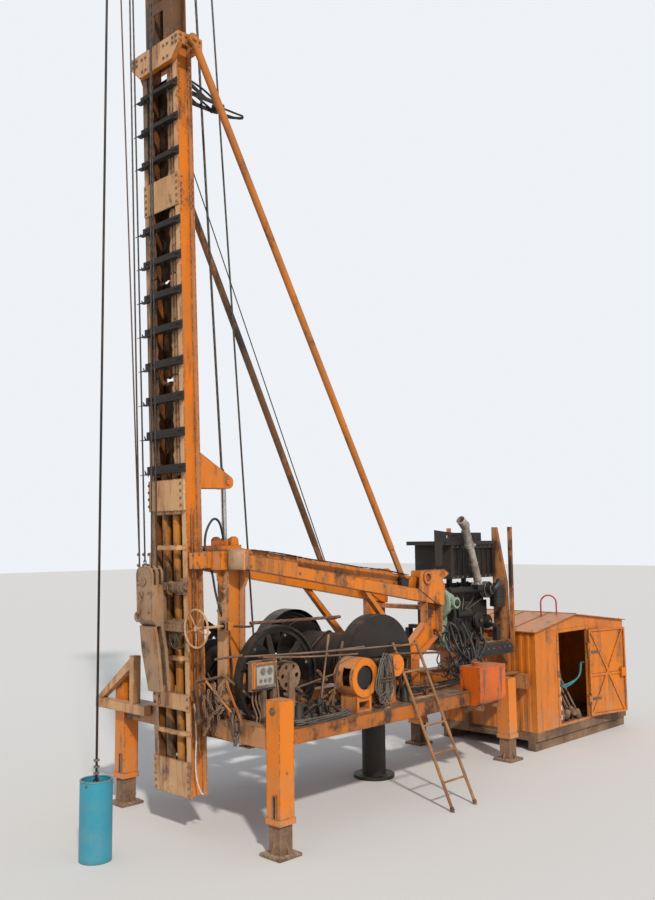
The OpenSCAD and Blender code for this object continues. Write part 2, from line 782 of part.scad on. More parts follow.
// Stays: upper pin on the yoke, open lower eye round the pin of a shoe in the side beam's slot
stay_top = mast_point(stay_pin_x, yoke_z + yoke_h - cheek_h / 2);
shoe_pin_z = 75;
shoe_pin_r = 16;
eye_open = 16;
stay_bar_t = 30;
module stay(y, foot) {
    d = [-foot - stay_top[0], side_beam_z(-foot) - shoe_pin_z - stay_top[1]];
    len = norm(d);
    color(orange)
        translate([stay_top[0], y, stay_top[1]]) rotate([0, -atan2(d[1], d[0]), 0])
            difference() {
                union() {
                    rotate([90, 0, 0]) cylinder(r = 62, h = stay_bar_t, center = true);
                    translate([0, -stay_bar_t / 2, -40]) cube([160, stay_bar_t, 80]);
                    translate([100, 0, 0]) rotate([0, 90, 0]) cylinder(r = stay_r, h = len - 560);
                    translate([len - 520, -stay_bar_t / 2, -38]) cube([520, stay_bar_t, 76]);
                    translate([len, 0, 0]) rotate([90, 0, 0]) cylinder(r = 52, h = stay_bar_t, center = true);
                }
                rotate([90, 0, 0]) cylinder(r = stay_pin_r + shaft_play, h = 200, center = true);
                translate([len, 0, 0]) rotate([90, 0, 0])
                    cylinder(r = shoe_pin_r + eye_open, h = 200, center = true);
            }
}

shoe_l = 140;
cheek_play = 4;
module stay_shoe(y, foot) {
    low = shoe_pin_z * cos(side_slope) - slot_deep + 0.3;
    color(greasy)
        translate([-foot, y, side_beam_z(-foot) - shoe_pin_z])
            rotate([0, -side_slope, 0]) {
                translate([-shoe_l / 2, -slot_w / 2 + cheek_play, low])
                    cube([shoe_l, slot_w - 2 * cheek_play, 30]);
                both_sides()
                    translate([-shoe_l / 2, slot_w / 2 - cheek_play - 12, low]) cube([shoe_l, 12, 30 - low]);
                rotate([90, 0, 0]) cylinder(r = shoe_pin_r, h = slot_w - 2 * cheek_play, center = true);
            }
}

// Travelling block on the mast's front: its sides, its depth and its heights along the mast
block_y0 = -220;
block_y1 = 50;
block_back = 110;
block_front = 265;
block_low = 1740;
block_top = 2360;
jaw_low = 1085;
block_round = 90;
module travelling_block() {
    mid = (block_y0 + block_y1) / 2;
    depth = block_front - block_back;
    color(peach)
        on_mast() {
            difference() {
                union() {
                    translate([block_back, block_y0, block_low])
                        cube([depth, block_y1 - block_y0, block_top - block_low - block_round]);
                    translate([block_back, block_y0 + block_round, block_low])
                        cube([depth, block_y1 - block_y0 - 2 * block_round, block_top - block_low]);
                    for (y = [block_y0 + block_round, block_y1 - block_round])
                        translate([block_back, y, block_top - block_round]) rotate([0, 90, 0])
                            cylinder(r = block_round, h = depth);
                }
                // Rope slots, open to the top and to the left side
                for (x = [block_back + 30, block_back + 95])
                    translate([x, block_y1 - 70, block_top - 190]) cube([26, 120, 240]);
                // Chamfer at the lower front
                translate([block_front, 0, block_low]) rotate([0, 40, 0]) cube([90, 800, 150], center = true);
            }
            // Jaws that taper downwards, with a gap for the tool's neck
            for (x = [block_back + 5, block_front - 60])
                translate([x, 0, 0]) rotate([90, 0, 90]) linear_extrude(42)
                    polygon([[block_y0 + 20, block_low + 1], [block_y1, block_low + 1], [110, 1500],
                        [150, jaw_low],
                        [-60, jaw_low], [block_y0 + 50, 1480]]);
            translate([block_back + 5, -20, jaw_low]) cube([depth - 23, 130, 60]);
            // Arms with shoes on the chords' front flanges
            for (z = [1690, 2110]) {
                translate([45, -mast_w / 2 + 10, z]) cube([block_back - 44, mast_w - 20, 70]);
                both_sides()
                    translate([0.3, mast_w / 2 - 85, z - 45]) cube([60, 80, 160]);
            }
            translate([45, mid - 90, 1690]) cube([block_back - 44, 180, 490]);
        }
}

module drop_hammer() {
    color("#1f8fae")
        translate([hammer_x, hammer_y, 0]) difference() {
            cylinder(r = hammer_d / 2, h = hammer_l);
            translate([0, 0, hammer_l - 120]) cylinder(r = hammer_d / 2 - 18, h = 130);
        }
}

module hammer_rope() {
    color(greasy)
        translate([hammer_x, hammer_y, hammer_l - 120 + 0.3])
            cylinder(r = rope_d / 2, h = head_axle_z - hammer_l + 120 - 0.3);
}

// Winches
module winch_bearings() {
    color(rust)
        for (x = [-winch_front_x, -winch_rear_x])
            both_sides()
                difference() {
                    side_plate([[x - 225, deck_z], [x + 225, deck_z], [x + 190, deck_z + 40],
                        [x + 120, winch_z],
                        [x + 75, winch_z + 110], [x - 75, winch_z + 110], [x - 120, winch_z],
                        [x - 190, deck_z + 40]],
                        beam_track / 2, 60);
                    translate([x, beam_track / 2 - 40, winch_z]) rotate([-90, 0, 0])
                        cylinder(r = shaft_r + shaft_play, h = 80);
                }
}

front_drum_l = 640;
rear_drum_l = 960;
rim_at = 700;
rim_t = 24;
module winch(x, rim, flange, half) {
    color(greasy)
        translate([x, 0, winch_z]) rotate([90, 0, 0]) {
            translate([0, 0, -830]) cylinder(r = shaft_r, h = 1660);
            translate([0, 0, -half]) cylinder(r = drum_r, h = 2 * half);
            for (z = [-half - 25, half]) translate([0, 0, z]) cylinder(r = flange, h = 25);
            // Brake rims on tapered spokes
            for (z = [-rim_at - rim_w, rim_at]) translate([0, 0, z]) {
                difference() {
                    cylinder(r = rim, h = rim_w);
                    translate([0, 0, -1]) cylinder(r = rim - rim_t, h = rim_w / 2 - 11);
                    translate([0, 0, rim_w / 2 + 12]) cylinder(r = rim - rim_t, h = rim_w / 2);
                    translate([0, 0, 1]) cylinder(r = rim - 70, h = rim_w - 2);
                }
                cylinder(r = 110, h = rim_w);
                for (a = [15:60:315])
                    rotate([0, 0, a]) translate([0, 0, rim_w / 2 - 8]) linear_extrude(16)
                        polygon([[90, -50], [rim - 60, -26], [rim - 60, 26], [90, 50]]);
            }
        }
}

// Guards over the rear winch's brake rims, closed on their outer side
guard_r = 548;
guard_t = 6;
guard_y = 640;
guard_w = 196;
module drum_guard() {
    color(greasy)
        both_sides()
            translate([-winch_rear_x, 0, winch_z]) {
                difference() {
                    translate([0, guard_y, 0]) rotate([-90, 0, 0]) cylinder(r = guard_r + guard_t, h = guard_w);
                    translate([0, guard_y - 1, 0]) rotate([-90, 0, 0])
                        cylinder(r = guard_r, h = guard_w + 1 - guard_t);
                    translate([-guard_r - 100, guard_y - 10, -guard_r - 100])
                        cube([2 * guard_r + 200, guard_w + 20, guard_r + 100]);
                    translate([0, guard_y, 0]) rotate([-90, 0, 0]) cylinder(r = 75, h = guard_w + 10);
                }
                // Legs on the walkway
                for (x = [-guard_r - guard_t, guard_r - 50])
                    translate([x, guard_y + guard_w - guard_t, deck_z + walk_t + 0.3 - winch_z])
                        cube([50 + guard_t, guard_t, winch_z - deck_z - walk_t + 10]);
            }
}

clutch_x = -1450;
clutch_z = 1490;
clutch_r = 215;
clutch_wall = 12;
module clutch_housing() {
    color(orange) {
        translate([clutch_x, 1130, clutch_z]) rotate([90, 0, 0]) difference() {
            cylinder(r = clutch_r, h = 280);
            // Hollow behind an annular end face, with a bearing in the inner wall
            translate([0, 0, clutch_wall]) cylinder(r = clutch_r - clutch_wall, h = 280 - 2 * clutch_wall);
            translate([0, 0, -1]) cylinder(r = 130, h = 40);
            translate([0, 0, 200]) cylinder(r = 40, h = 100);
            // Square window on the front side
            translate([90, -80, 40]) cube([200, 190, 115]);
        }
        // Base on the walkway, cut out under the shell
        difference() {
            translate([clutch_x - 120, 870, deck_z + walk_t + 0.3])
                cube([240, 240, clutch_z - 160 - deck_z - walk_t]);
            translate([clutch_x, 1135, clutch_z]) rotate([90, 0, 0])
                cylinder(r = clutch_r - clutch_wall, h = 270);
            translate([clutch_x - 80, 860, deck_z + walk_t + 40]) cube([160, 300, 80]);
        }
        // Pedestal of the small winch
        difference() {
            side_plate([[small_x - 110, deck_z + walk_t + 0.3], [small_x + 110, deck_z + walk_t + 0.3],
                [small_x + 70, small_z + 70], [small_x - 70, small_z + 70]], 945, 50);
            translate([small_x, 900, small_z]) rotate([-90, 0, 0]) cylinder(r = 30 + shaft_play, h = 100);
        }
    }
}

module capstan() {
    color(greasy)
        translate([clutch_x, 1110, clutch_z]) rotate([90, 0, 0]) {
            cylinder(r = 120, h = 235);
            cylinder(r = 39.5, h = 275);
        }
}

small_x = -2040;
small_z = 1560;
module small_winch() {
    color(orange)
        translate([small_x, 1090, small_z]) rotate([90, 0, 0])
            rotate_extrude()
                polygon([[0, -8], [45, -8], [52, 0], [125, 0], [125, 18], [84, 22], [80, 30], [80, 72],
                    [84, 78],
                    [125, 82], [125, 100], [30, 100], [30, 160], [0, 160]]);
}

spool_x = -480;
spool_z = 1600;
spool_r = 150;
module control_stand() {
    low = deck_z + walk_t + 0.3;
    // Frame with the panel box
    color(orange) {
        translate([-280, 925, low]) cube([50, 50, 1800 - low]);
        translate([-135, 925, low]) cube([35, 50, 1532 - low]);
        for (z = [1500, 1768]) translate([-280, 925, z]) cube([340, 50, 32]);
        translate([35, 925, 1500]) cube([25, 50, 300]);
    }
    color(rust)
        difference() {
            translate([-231, 900, 1531]) cube([267, 105, 238]);
            translate([-212, 1000, 1548]) cube([228, 20, 204]);
        }
    // Spool with pierced flanges on its stand
    color(greasy) {
        translate([spool_x, 955, spool_z]) rotate([90, 0, 0]) {
            difference() {
                union() {
                    for (z = [0, 93]) translate([0, 0, z]) cylinder(r = spool_r, h = 12);
                    cylinder(r = 60, h = 105);
                }
                for (a = [0:60:300]) rotate([0, 0, a]) translate([100, 0, -1]) cylinder(r = 26, h = 110);
            }
            translate([0, 0, -40]) cylinder(r = 20, h = 60);
        }
        side_plate([[spool_x - 50, low], [spool_x + 50, low], [spool_x + 30, spool_z + 40],
            [spool_x - 30, spool_z + 40]],
            975, 30);
    }
}

wheel_x = 420;
wheel_y = 545;
wheel_z = 2125;
wheel_r = 200;
module handwheel() {
    color(peach)
        translate([wheel_x, wheel_y, wheel_z]) rotate([0, 90, 0]) {
            rotate_extrude() translate([wheel_r - 11, 0]) circle(r = 11);
            cylinder(r = 30, h = 24, center = true);
            for (a = [0:72:288]) rotate([0, 0, a]) rotate([0, 90, 0]) cylinder(r = 7, h = wheel_r - 11);
            translate([0, 0, -wheel_x - 40]) cylinder(r = 14, h = wheel_x + 40);
        }
}

// Engine
rail_y = 430;
rail_w = 100;
post_top = 3170;
module engine_deck() {
    color(orange) {
        both_sides()
            translate([-chassis_end, rail_y, engine_z - 120])
                cube([chassis_end - engine_x + 60, rail_w, 120]);
        for (x = [-4000, -5200])
            both_sides() translate([x - 40, rail_y + 10, deck_z]) cube([80, 80, engine_z - 120 - deck_z]);
        for (x = [-4050, -chassis_end + 40])
            translate([x, -rail_y, engine_z - 80]) cube([80, 2 * rail_y, 80]);
        // Tapered guard post, and thin posts beside the rails
        translate([-chassis_end, 0, 0]) rotate([90, 0, 90]) linear_extrude(60)
            polygon([[250, engine_z - 100], [250, post_top], [320, post_top], [470, engine_z + 820],
                [490, engine_z - 100]]);
        for (y = [-575, 525])
            translate([-chassis_end + 10, y, engine_z - 100]) cube([50, 50, post_top + 100 - engine_z]);
        // Slanting gussets below the rails
        both_sides()
            side_plate([[-4050, deck_z], [-4050, engine_z - 118], [-4330, engine_z - 118],
                [-4330, engine_z - 170]],
                rail_y + rail_w / 2, 12);
    }
}

// Engine: front face, half width of the crankcase, heights of its main parts
block_x = -engine_x - 150;
case_w = engine_w / 2 - 60;
case_z = engine_z + 150;
head_low = engine_z + 560;
manifold_y = 330;
manifold_z = engine_z + 730;
pad_x = -4650;
pad_top = manifold_z + 66;
module engine_block() {
    rear = block_x - engine_l;
    color(greasy) {
        // Crankcase, sump and cylinder head
        translate([rear, -case_w, case_z]) cube([engine_l, 2 * case_w, head_low - case_z]);
        translate([block_x - 60, 0, 0]) rotate([0, -90, 0]) linear_extrude(engine_l - 120)
            polygon([[case_z + 1, -190], [case_z + 1, 190], [engine_z + 60, 150], [engine_z + 20, 110],
                [engine_z + 20, -110], [engine_z + 60, -150]]);
        translate([rear + 20, -160, head_low - 1])
            cube([engine_l - 40, 340, engine_h + engine_z - head_low + 1]);
        // Flywheel housing in front
        translate([block_x - 50, 150, case_z + 270]) rotate([0, 90, 0]) cylinder(r = 265, h = 50);
        // Feet on the deck's rails
        for (x = [block_x - 150, rear + 90])
            both_sides() {
                translate([x, case_w - 5, case_z + 40]) cube([90, 230, 50]);
                translate([x, rail_y + 5, engine_z + 0.3]) cube([90, 70, case_z + 41 - engine_z]);
            }
        // Exhaust manifold on its four branches, with a pad for the pipe
        translate([-4900, manifold_y, manifold_z]) rotate([0, 90, 0]) cylinder(r = 46, h = 844);
        for (i = [0:3])
            bar([block_x - 130 - i * 240, 150, manifold_z - 30],
                [block_x - 130 - i * 240, manifold_y, manifold_z], 34);
        translate([pad_x - 60, manifold_y - 10, manifold_z]) cube([120, 120, 66]);
        // Turbocharger at its rear end
        translate([-4930, manifold_y - 30, manifold_z - 10]) rotate([-90, 0, 0]) cylinder(r = 105, h = 85);
        translate([-4930, manifold_y + 50, manifold_z - 10]) rotate([-90, 0, 0]) cylinder(r = 58, h = 80);
        // Air filter on a bracket
        translate([-5115, 395, engine_z + 470]) cylinder(r = 105, h = 300);
        translate([-5115, 395, engine_z + 760]) cylinder(r = 60, h = 40);
        translate([-5095, 170, engine_z + 590]) cube([40, 140, 60]);
        // Belt pulleys on the side
        for (c = [[-4800, engine_z + 285, 105], [-5010, engine_z + 255, 90]])
            translate([c[0], case_w - 2, c[1]]) rotate([-90, 0, 0]) {
                cylinder(r = 32, h = 110);
                translate([0, 0, 52]) cylinder(r = c[2] - 16, h = 38);
                for (z = [50, 80]) translate([0, 0, z]) cylinder(r = c[2], h = 12);
            }
        // Injection pump and filters
        translate([-4600, case_w + 60, engine_z + 400]) rotate([0, 90, 0]) cylinder(r = 60, h = 330);
        translate([-4560, case_w - 5, engine_z + 370]) cube([250, 60, 60]);
        for (x = [-4220, -4330]) translate([x, case_w + 50, engine_z + 190]) cylinder(r = 45, h = 145);
        translate([-4360, case_w - 5, engine_z + 330]) cube([170, 90, 30]);
    }
}

// Radiator box on four legs above the engine
rad_x = -5210;
rad_l = 1060;
rad_y = -330;
rad_w = 640;
rad_z = 2450;
rad_h = 470;
cap_plate_t = 55;
module radiator() {
    color(greasy) {
        difference() {
            translate([rad_x, rad_y, rad_z]) cube([rad_l, rad_w, rad_h]);
            // Core recessed in its frame on both broad sides
            for (y = [rad_y - 1, rad_y + rad_w - 39])
                translate([rad_x + 55, y, rad_z + 50]) cube([rad_l - 110, 40, rad_h - 100]);
        }
        // Upright bars before the core
        for (i = [1:7]) for (y = [rad_y + 8, rad_y + rad_w - 20])
            translate([rad_x + 55 + i * (rad_l - 110) / 8 - 6, y, rad_z + 45]) cube([12, 12, rad_h - 90]);
        // Broad plate on top with an upright fin in front
        difference() {
            translate([rad_x - 80, rad_y - 30, rad_z + rad_h - 1]) cube([rad_l + 230, rad_w + 60, cap_plate_t]);
            translate([rad_x - 100, 235, rad_z + rad_h - 10]) cube([100, 105, 100]);
        }
        difference() {
            side_plate([[-3780, 2640], [-3780, 3125], [-3930, 3110], [-4270, 3085], [-4270, 2960],
                [-4000, 2960],
                [-3940, 2900], [-3930, 2640]], 320, 14);
            for (x = [-4060, -4190]) translate([x, 300, 3035]) rotate([-90, 0, 0]) cylinder(r = 28, h = 60);
        }
        // Tanks on the top plate
        translate([-4980, -60, rad_z + rad_h + cap_plate_t - 2]) cube([330, 300, 120]);
        translate([-4820, 60, rad_z + rad_h + cap_plate_t + 117]) cylinder(r = 45, h = 35);
        // Legs on the cylinder head
        for (x = [rad_x + 170, rad_x + rad_l - 230]) for (y = [-140, 90])
            translate([x, y, engine_z + engine_h + 0.3]) cube([60, 50, rad_z + 1 - engine_z - engine_h]);
    }
}

exhaust_r = 55;
module exhaust_pipe() {
    foot = [pad_x, manifold_y + 50, pad_top + 12];
    knee = [pad_x, manifold_y + 60, pad_top + 75];
    neck = [-4300, 450, 3190];
    mouth = [-4190, 460, 3265];
    clamp = knee + 0.6 * (neck - knee);
    color("#8c8a86")
        difference() {
            union() {
                translate([pad_x - 60, manifold_y - 10, pad_top + 0.3]) cube([120, 120, 14]);
                bar(foot, knee, 48);
                translate(knee) sphere(r = exhaust_r + 5);
                bar(knee, neck, exhaust_r);
                bar(clamp, clamp + 0.04 * (neck - knee), exhaust_r + 12);
                translate(neck) sphere(r = exhaust_r + 15);
                bar(neck, mouth, exhaust_r + 9);
            }
            bar(neck + 0.35 * (mouth - neck), mouth + 0.2 * (mouth - neck), exhaust_r);
        }
}

module generator() {
    axis_z = engine_z + generator_r + 380;
    front = block_x + 300;
    color("#7f9c78")
        translate([0, 330, axis_z]) {
            // Big ring in front, a body that narrows to the engine, and a hub to the side
            translate([block_x + 0.3, 0, 0]) rotate([0, 90, 0])
                rotate_extrude()
                    polygon([[0, 0], [120, 0], [generator_r - 55, 120], [generator_r - 25, 160],
                        [generator_r - 25, 225],
                        [generator_r, 230], [generator_r, 268], [generator_r - 40, 272],
                        [generator_r - 40, 262],
                        [90, 262], [90, 300], [0, 300]]);
            translate([block_x + 150, generator_r - 90, 0]) rotate([-90, 0, 0]) cylinder(r = 75, h = 130);
            for (a = [0:45:315])
                rotate([a, 0, 0]) translate([front - 110, generator_r - 50, -6]) cube([80, 34, 12]);
        }
    // Foot
    color("#7f9c78")
        translate([block_x + 70, rail_y - 160, engine_z + 0.3]) {
            cube([170, 200, 20]);
            translate([30, 40, 0]) cube([100, 60, 420]);
        }
}

tank_l = 560;
tank_w = 300;
tank_round = 100;
module fuel_tank() {
    low = deck_z - 160 + 0.3;
    color(orange)
        translate([-stringer_end - 5 - tank_l, tank_y, 0]) {
            // Box with rounded lower edges
            translate([0, 0, low + tank_round]) cube([tank_l, tank_w, 370]);
            translate([0, tank_round, low]) cube([tank_l, tank_w - 2 * tank_round, tank_round + 1]);
            for (y = [tank_round, tank_w - tank_round])
                translate([0, y, low + tank_round]) rotate([0, 90, 0]) cylinder(r = tank_round, h = tank_l);
            // Filler neck
            translate([tank_l - 130, tank_w / 2, low + tank_round + 369]) cylinder(r = 42, h = 45);
            translate([tank_l - 130, tank_w / 2, low + tank_round + 405]) cylinder(r = 52, h = 20);
        }
}

rail_r = 18;
ladder_seat = [stringer_y + 40 + rail_r * 1.12, deck_z + walk_t];
ladder_lean = (ladder_seat[0] - ladder_foot_y) / ladder_seat[1];
function on_ladder(x, z) = [-ladder_x + x, ladder_foot_y + z * ladder_lean, z];
module ladder() {
    rungs = 6;
    color(rust)
        difference() {
            union() {
                for (x = [-ladder_w / 2, ladder_w / 2])
                    bar(on_ladder(x, -20), on_ladder(x, ladder_top), rail_r);
                for (i = [1:rungs])
                    bar(on_ladder(-ladder_w / 2, i * 290), on_ladder(ladder_w / 2, i * 290), 12);
            }
            translate([-ladder_x - ladder_w, 0, -100]) cube([2 * ladder_w, 2 * ladder_foot_y, 100]);
        }
}

// Tool cabin
module cabin_base() {
    color(rust) {
        both_sides()
            translate([-cabin_x - cabin_l, cabin_w / 2 - 160, 0]) cube([cabin_l, 120, 140]);
        translate([-cabin_x - cabin_l, -cabin_w / 2, 140]) cube([cabin_l, cabin_w, cabin_floor - 140]);
        // Tow plates against the chassis
        for (y = [-360, 300])
            translate([-cabin_x + 0.3, y, 160]) cube([cabin_x - chassis_end - 0.6, 60, 860]);
        translate([-cabin_x - 30, -360, 160]) cube([80, 720, 60]);
    }
}

// Side outline of the cabin, drawn in by a wall's thickness
function cabin_corners(inset, base) = [
    [-cabin_x - inset, base], [-cabin_x - cabin_l + inset, base],
    [-cabin_x - cabin_l + inset, cabin_eave - inset], [cabin_ridge_x, cabin_ridge - inset],
    [-cabin_x - inset, cabin_eave - inset]];
cabin_ridge_x = -cabin_x - 0.42 * cabin_l;
door_x = -cabin_x - door_from;
door_z = cabin_floor + 30;
door_h = cabin_eave - door_z - 60;
hinge_x = door_x - door_w;
hinge_y = cabin_w / 2 + 27;
hinge_r = 9;
leaf_t = 30;
HINGES = [door_z + 220, door_z + door_h - 300];

// A pressed rib on a wall that faces +X
module rib(height) {
    linear_extrude(height) polygon([[-1, -36], [0, -36], [8, -20], [8, 20], [0, 36], [-1, 36]]);
}

module cabin_walls() {
    color(orange) {
        difference() {
            side_plate(cabin_corners(0, cabin_floor), 0, cabin_w);
            side_plate(cabin_corners(cabin_wall, cabin_floor - 1), 0, cabin_w - 2 * cabin_wall);
            translate([hinge_x, cabin_w / 2 - cabin_wall - 1, door_z]) cube([door_w, cabin_wall + 2, door_h]);
        }
        // Pressed ribs on the front, rear and side walls
        for (y = [-720:120:720]) if (abs(abs(y) - 330) > 65) {
            translate([-cabin_x, y, cabin_floor]) rib(cabin_eave - cabin_floor - 30);
            translate([-cabin_x - cabin_l, y, cabin_floor]) rotate([0, 0, 180])
                rib(cabin_eave - cabin_floor - 30);
        }
        for (x = [-cabin_x - 100:-120:-cabin_x - door_from + 120])
            translate([x, cabin_w / 2, cabin_floor]) rotate([0, 0, 90]) rib(cabin_eave - cabin_floor - 10);
        for (x = [-cabin_x - 100:-120:-cabin_x - cabin_l + 100])
            translate([x, -cabin_w / 2, cabin_floor]) rotate([0, 0, -90]) rib(cabin_eave - cabin_floor - 10);
        // Frame round the doorway
        for (x = [hinge_x - 55, hinge_x + door_w])
            translate([x, cabin_w / 2 - 1, cabin_floor + 10]) cube([55, 7, door_h + 75]);
        translate([hinge_x - 55, cabin_w / 2 - 1, door_z + door_h]) cube([door_w + 110, 7, 50]);
        // Hinge brackets and pins
        for (z = HINGES) {
            translate([hinge_x, hinge_y, z - 30]) cylinder(r = hinge_r, h = 140);
            for (dz = [-30, 90])
                translate([hinge_x - 12, cabin_w / 2 - 2, z + dz]) cube([24, hinge_y - cabin_w / 2 + 12, 20]);
        }
    }
}

roof_t = 14;
module cabin_roof() {
    over = 40;
    front_slope = (cabin_ridge - cabin_eave) / (-cabin_x - cabin_ridge_x);
    rear_slope = (cabin_ridge - cabin_eave) / (cabin_ridge_x + cabin_x + cabin_l);
    color(orange)
        translate([0, 0, 0.3])
            side_plate([[-cabin_x + over, cabin_eave - over * front_slope], [cabin_ridge_x, cabin_ridge],
                [-cabin_x - cabin_l - over, cabin_eave - over * rear_slope],
                [-cabin_x - cabin_l - over, cabin_eave - over * rear_slope + roof_t],
                [cabin_ridge_x, cabin_ridge + roof_t],
                [-cabin_x + over, cabin_eave - over * front_slope + roof_t]],
                0, cabin_w + 2 * over);
}

// Depth of the braces on the leaf's inner face
brace_t = 14;
module cabin_door() {
    low = door_z + 10;
    wide = door_w - 20;
    tall = door_h - 20;
    color(orange)
        translate([hinge_x, hinge_y, 0]) rotate([0, 0, door_open])
            difference() {
                union() {
                    // Leaf as a tray: a skin with a turned-in edge
                    difference() {
                        translate([10, -leaf_t / 2, low]) cube([wide, leaf_t, tall]);
                        translate([40, -leaf_t / 2 - 1, low + 30]) cube([wide - 60, leaf_t - 8, tall - 60]);
                    }
                    // Braces and rail on the inner face
                    translate([0, leaf_t / 2 - 8 - brace_t / 2, 0]) {
                        side_plate([[40, low + 25], [85, low + 25], [wide - 10, low + tall - 25],
                            [wide - 55, low + tall - 25]], 0, brace_t + 2);
                        side_plate([[40, low + tall - 25], [85, low + tall - 25], [wide - 10, low + 25],
                            [wide - 55, low + 25]], 0, brace_t);
                        translate([30, -brace_t / 2, low + 0.45 * tall]) cube([wide - 40, brace_t + 2, 36]);
                    }
                    // Lock box
                    translate([wide - 120, -leaf_t / 2 - 26, low + 0.45 * tall - 40]) cube([105, 50, 130]);
                    for (z = HINGES) {
                        translate([0, 0, z]) cylinder(r = 15, h = 88);
                        translate([0, -8, z + 10]) cube([40, 16, 68]);
                    }
                }
                for (z = HINGES) translate([0, 0, z - 40]) cylinder(r = hinge_r + shaft_play, h = 200);
                for (z = HINGES) for (dz = [-36, 88])
                    translate([-20, -20, z + dz]) cube([40, 40, 36]);
            }
}

row_frame() chassis_frame();
row_frame() walkways();
row_frame() leg_sleeves();
row_frame() leg_foot(LEGS[0]);  // leg_foot_front_left
row_frame() leg_foot(LEGS[1]);  // leg_foot_front_right
row_frame() leg_foot(LEGS[2]);  // leg_foot_rear_left
row_frame() leg_foot(LEGS[3]);  // leg_foot_rear_right
row_frame() centre_jack();
row_frame() right_wing();
row_frame() front_posts();
row_frame() crosshead();
row_frame() side_beams();
row_frame() rear_trestle();
row_frame() mast_chords();
row_frame() mast_plates();
row_frame() mast_rungs();
row_frame() mast_pipes();
row_frame() mast_upper();
row_frame() mast_yoke();
row_frame() mast_head();
row_frame() sheave(front_sheave_x);  // head_sheave_front
row_frame() sheave(rear_sheave_x);  // head_sheave_rear
row_frame() rope_outrigger();
row_frame() lift_bracket();
row_frame() lift_cylinder();
row_frame() lift_rod();
row_frame() stay(stay_y, stay_left_foot);  // stay_left
row_frame() stay(-stay_y, stay_right_foot);  // stay_right
row_frame() stay_shoe(side_y, stay_left_foot);  // stay_shoe_left
row_frame() stay_shoe(-side_y, stay_right_foot);  // stay_shoe_right
row_frame() travelling_block();
row_frame() drop_hammer();
row_frame() hammer_rope();
row_frame() winch_bearings();
row_frame() winch(-winch_front_x, rim_front_r, drum_flange_r, front_drum_l / 2);  // winch_front
row_frame() winch(-winch_rear_x, rim_r, rear_flange_r, rear_drum_l / 2);  // winch_rear
row_frame() drum_guard();
row_frame() clutch_housing();
row_frame() capstan();
row_frame() small_winch();
row_frame() control_stand();
row_frame() handwheel();
row_frame() engine_deck();
row_frame() engine_block();
row_frame() radiator();
row_frame() exhaust_pipe();
row_frame() generator();
row_frame() fuel_tank();
row_frame() ladder();
row_frame() cabin_base();
row_frame() cabin_walls();
row_frame() cabin_roof();
row_frame() cabin_door();
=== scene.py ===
# Pile driver rig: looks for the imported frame. Metres, +X forward, +Y the machine's left, +Z up.
import random
from math import atan2, copysign, cos, degrees, pi, radians, sin, tan

import bmesh
import bpy
from mathutils import Matrix, Vector


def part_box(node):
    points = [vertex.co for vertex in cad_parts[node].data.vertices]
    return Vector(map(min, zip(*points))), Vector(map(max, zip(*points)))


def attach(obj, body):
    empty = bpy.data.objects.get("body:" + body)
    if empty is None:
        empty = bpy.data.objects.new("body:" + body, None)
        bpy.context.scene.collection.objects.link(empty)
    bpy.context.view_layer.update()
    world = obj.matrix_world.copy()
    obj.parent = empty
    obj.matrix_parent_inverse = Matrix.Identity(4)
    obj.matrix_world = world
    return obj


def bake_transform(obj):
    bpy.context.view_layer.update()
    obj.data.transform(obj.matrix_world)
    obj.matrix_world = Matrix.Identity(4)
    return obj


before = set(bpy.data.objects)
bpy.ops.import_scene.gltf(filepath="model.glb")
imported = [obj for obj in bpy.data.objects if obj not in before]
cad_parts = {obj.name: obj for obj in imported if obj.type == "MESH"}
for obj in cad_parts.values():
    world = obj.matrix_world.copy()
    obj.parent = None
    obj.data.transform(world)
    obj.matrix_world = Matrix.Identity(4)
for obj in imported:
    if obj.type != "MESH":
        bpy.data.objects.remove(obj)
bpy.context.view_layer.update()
RND = random.Random(7)
pick = RND.uniform

# The row frame's origin seen from the machine frame, whose x = 0 is the front legs' line
OX, OY = 3.3025, -0.005
UP, FORE, LEFT = Vector((0, 0, 1)), Vector((1, 0, 0)), Vector((0, 1, 0))
SIDES = (-1, 1)


def V(x, y, z):
    return Vector((x, y, z))


def P(x, y, z):
    """A point of the machine frame, in the row frame."""
    return V(x + OX, y + OY, z)


# The mast's foot, lean and width
FOOT_X, FOOT_Z = 0.290, 0.395
RAKE = radians(1.8)
MAST_W = 0.64
MAST_UP = V(sin(RAKE), 0, cos(RAKE))
MAST_FORE = V(cos(RAKE), 0, -sin(RAKE))
MAST_AXES = (MAST_FORE, LEFT, MAST_UP)


def on_mast(u, v, w):
    """A point of the mast: u before its front face, v to the left, w up from its foot."""
    return P(FOOT_X, v, FOOT_Z) + u * MAST_FORE + w * MAST_UP


def place_object(name, data):
    """Makes an object of some data and links it to the scene."""
    obj = bpy.data.objects.new(name, data)
    bpy.context.scene.collection.objects.link(obj)
    return obj


# Camera
CAMERA_AT = (6.116, 8.023, 2.968)
PITCH, ROLL, TURN = radians(5.819), radians(-0.679), radians(44.496)
FOCAL_PIXELS, PICTURE_HIGH, SENSOR = 911.86, 900, 36


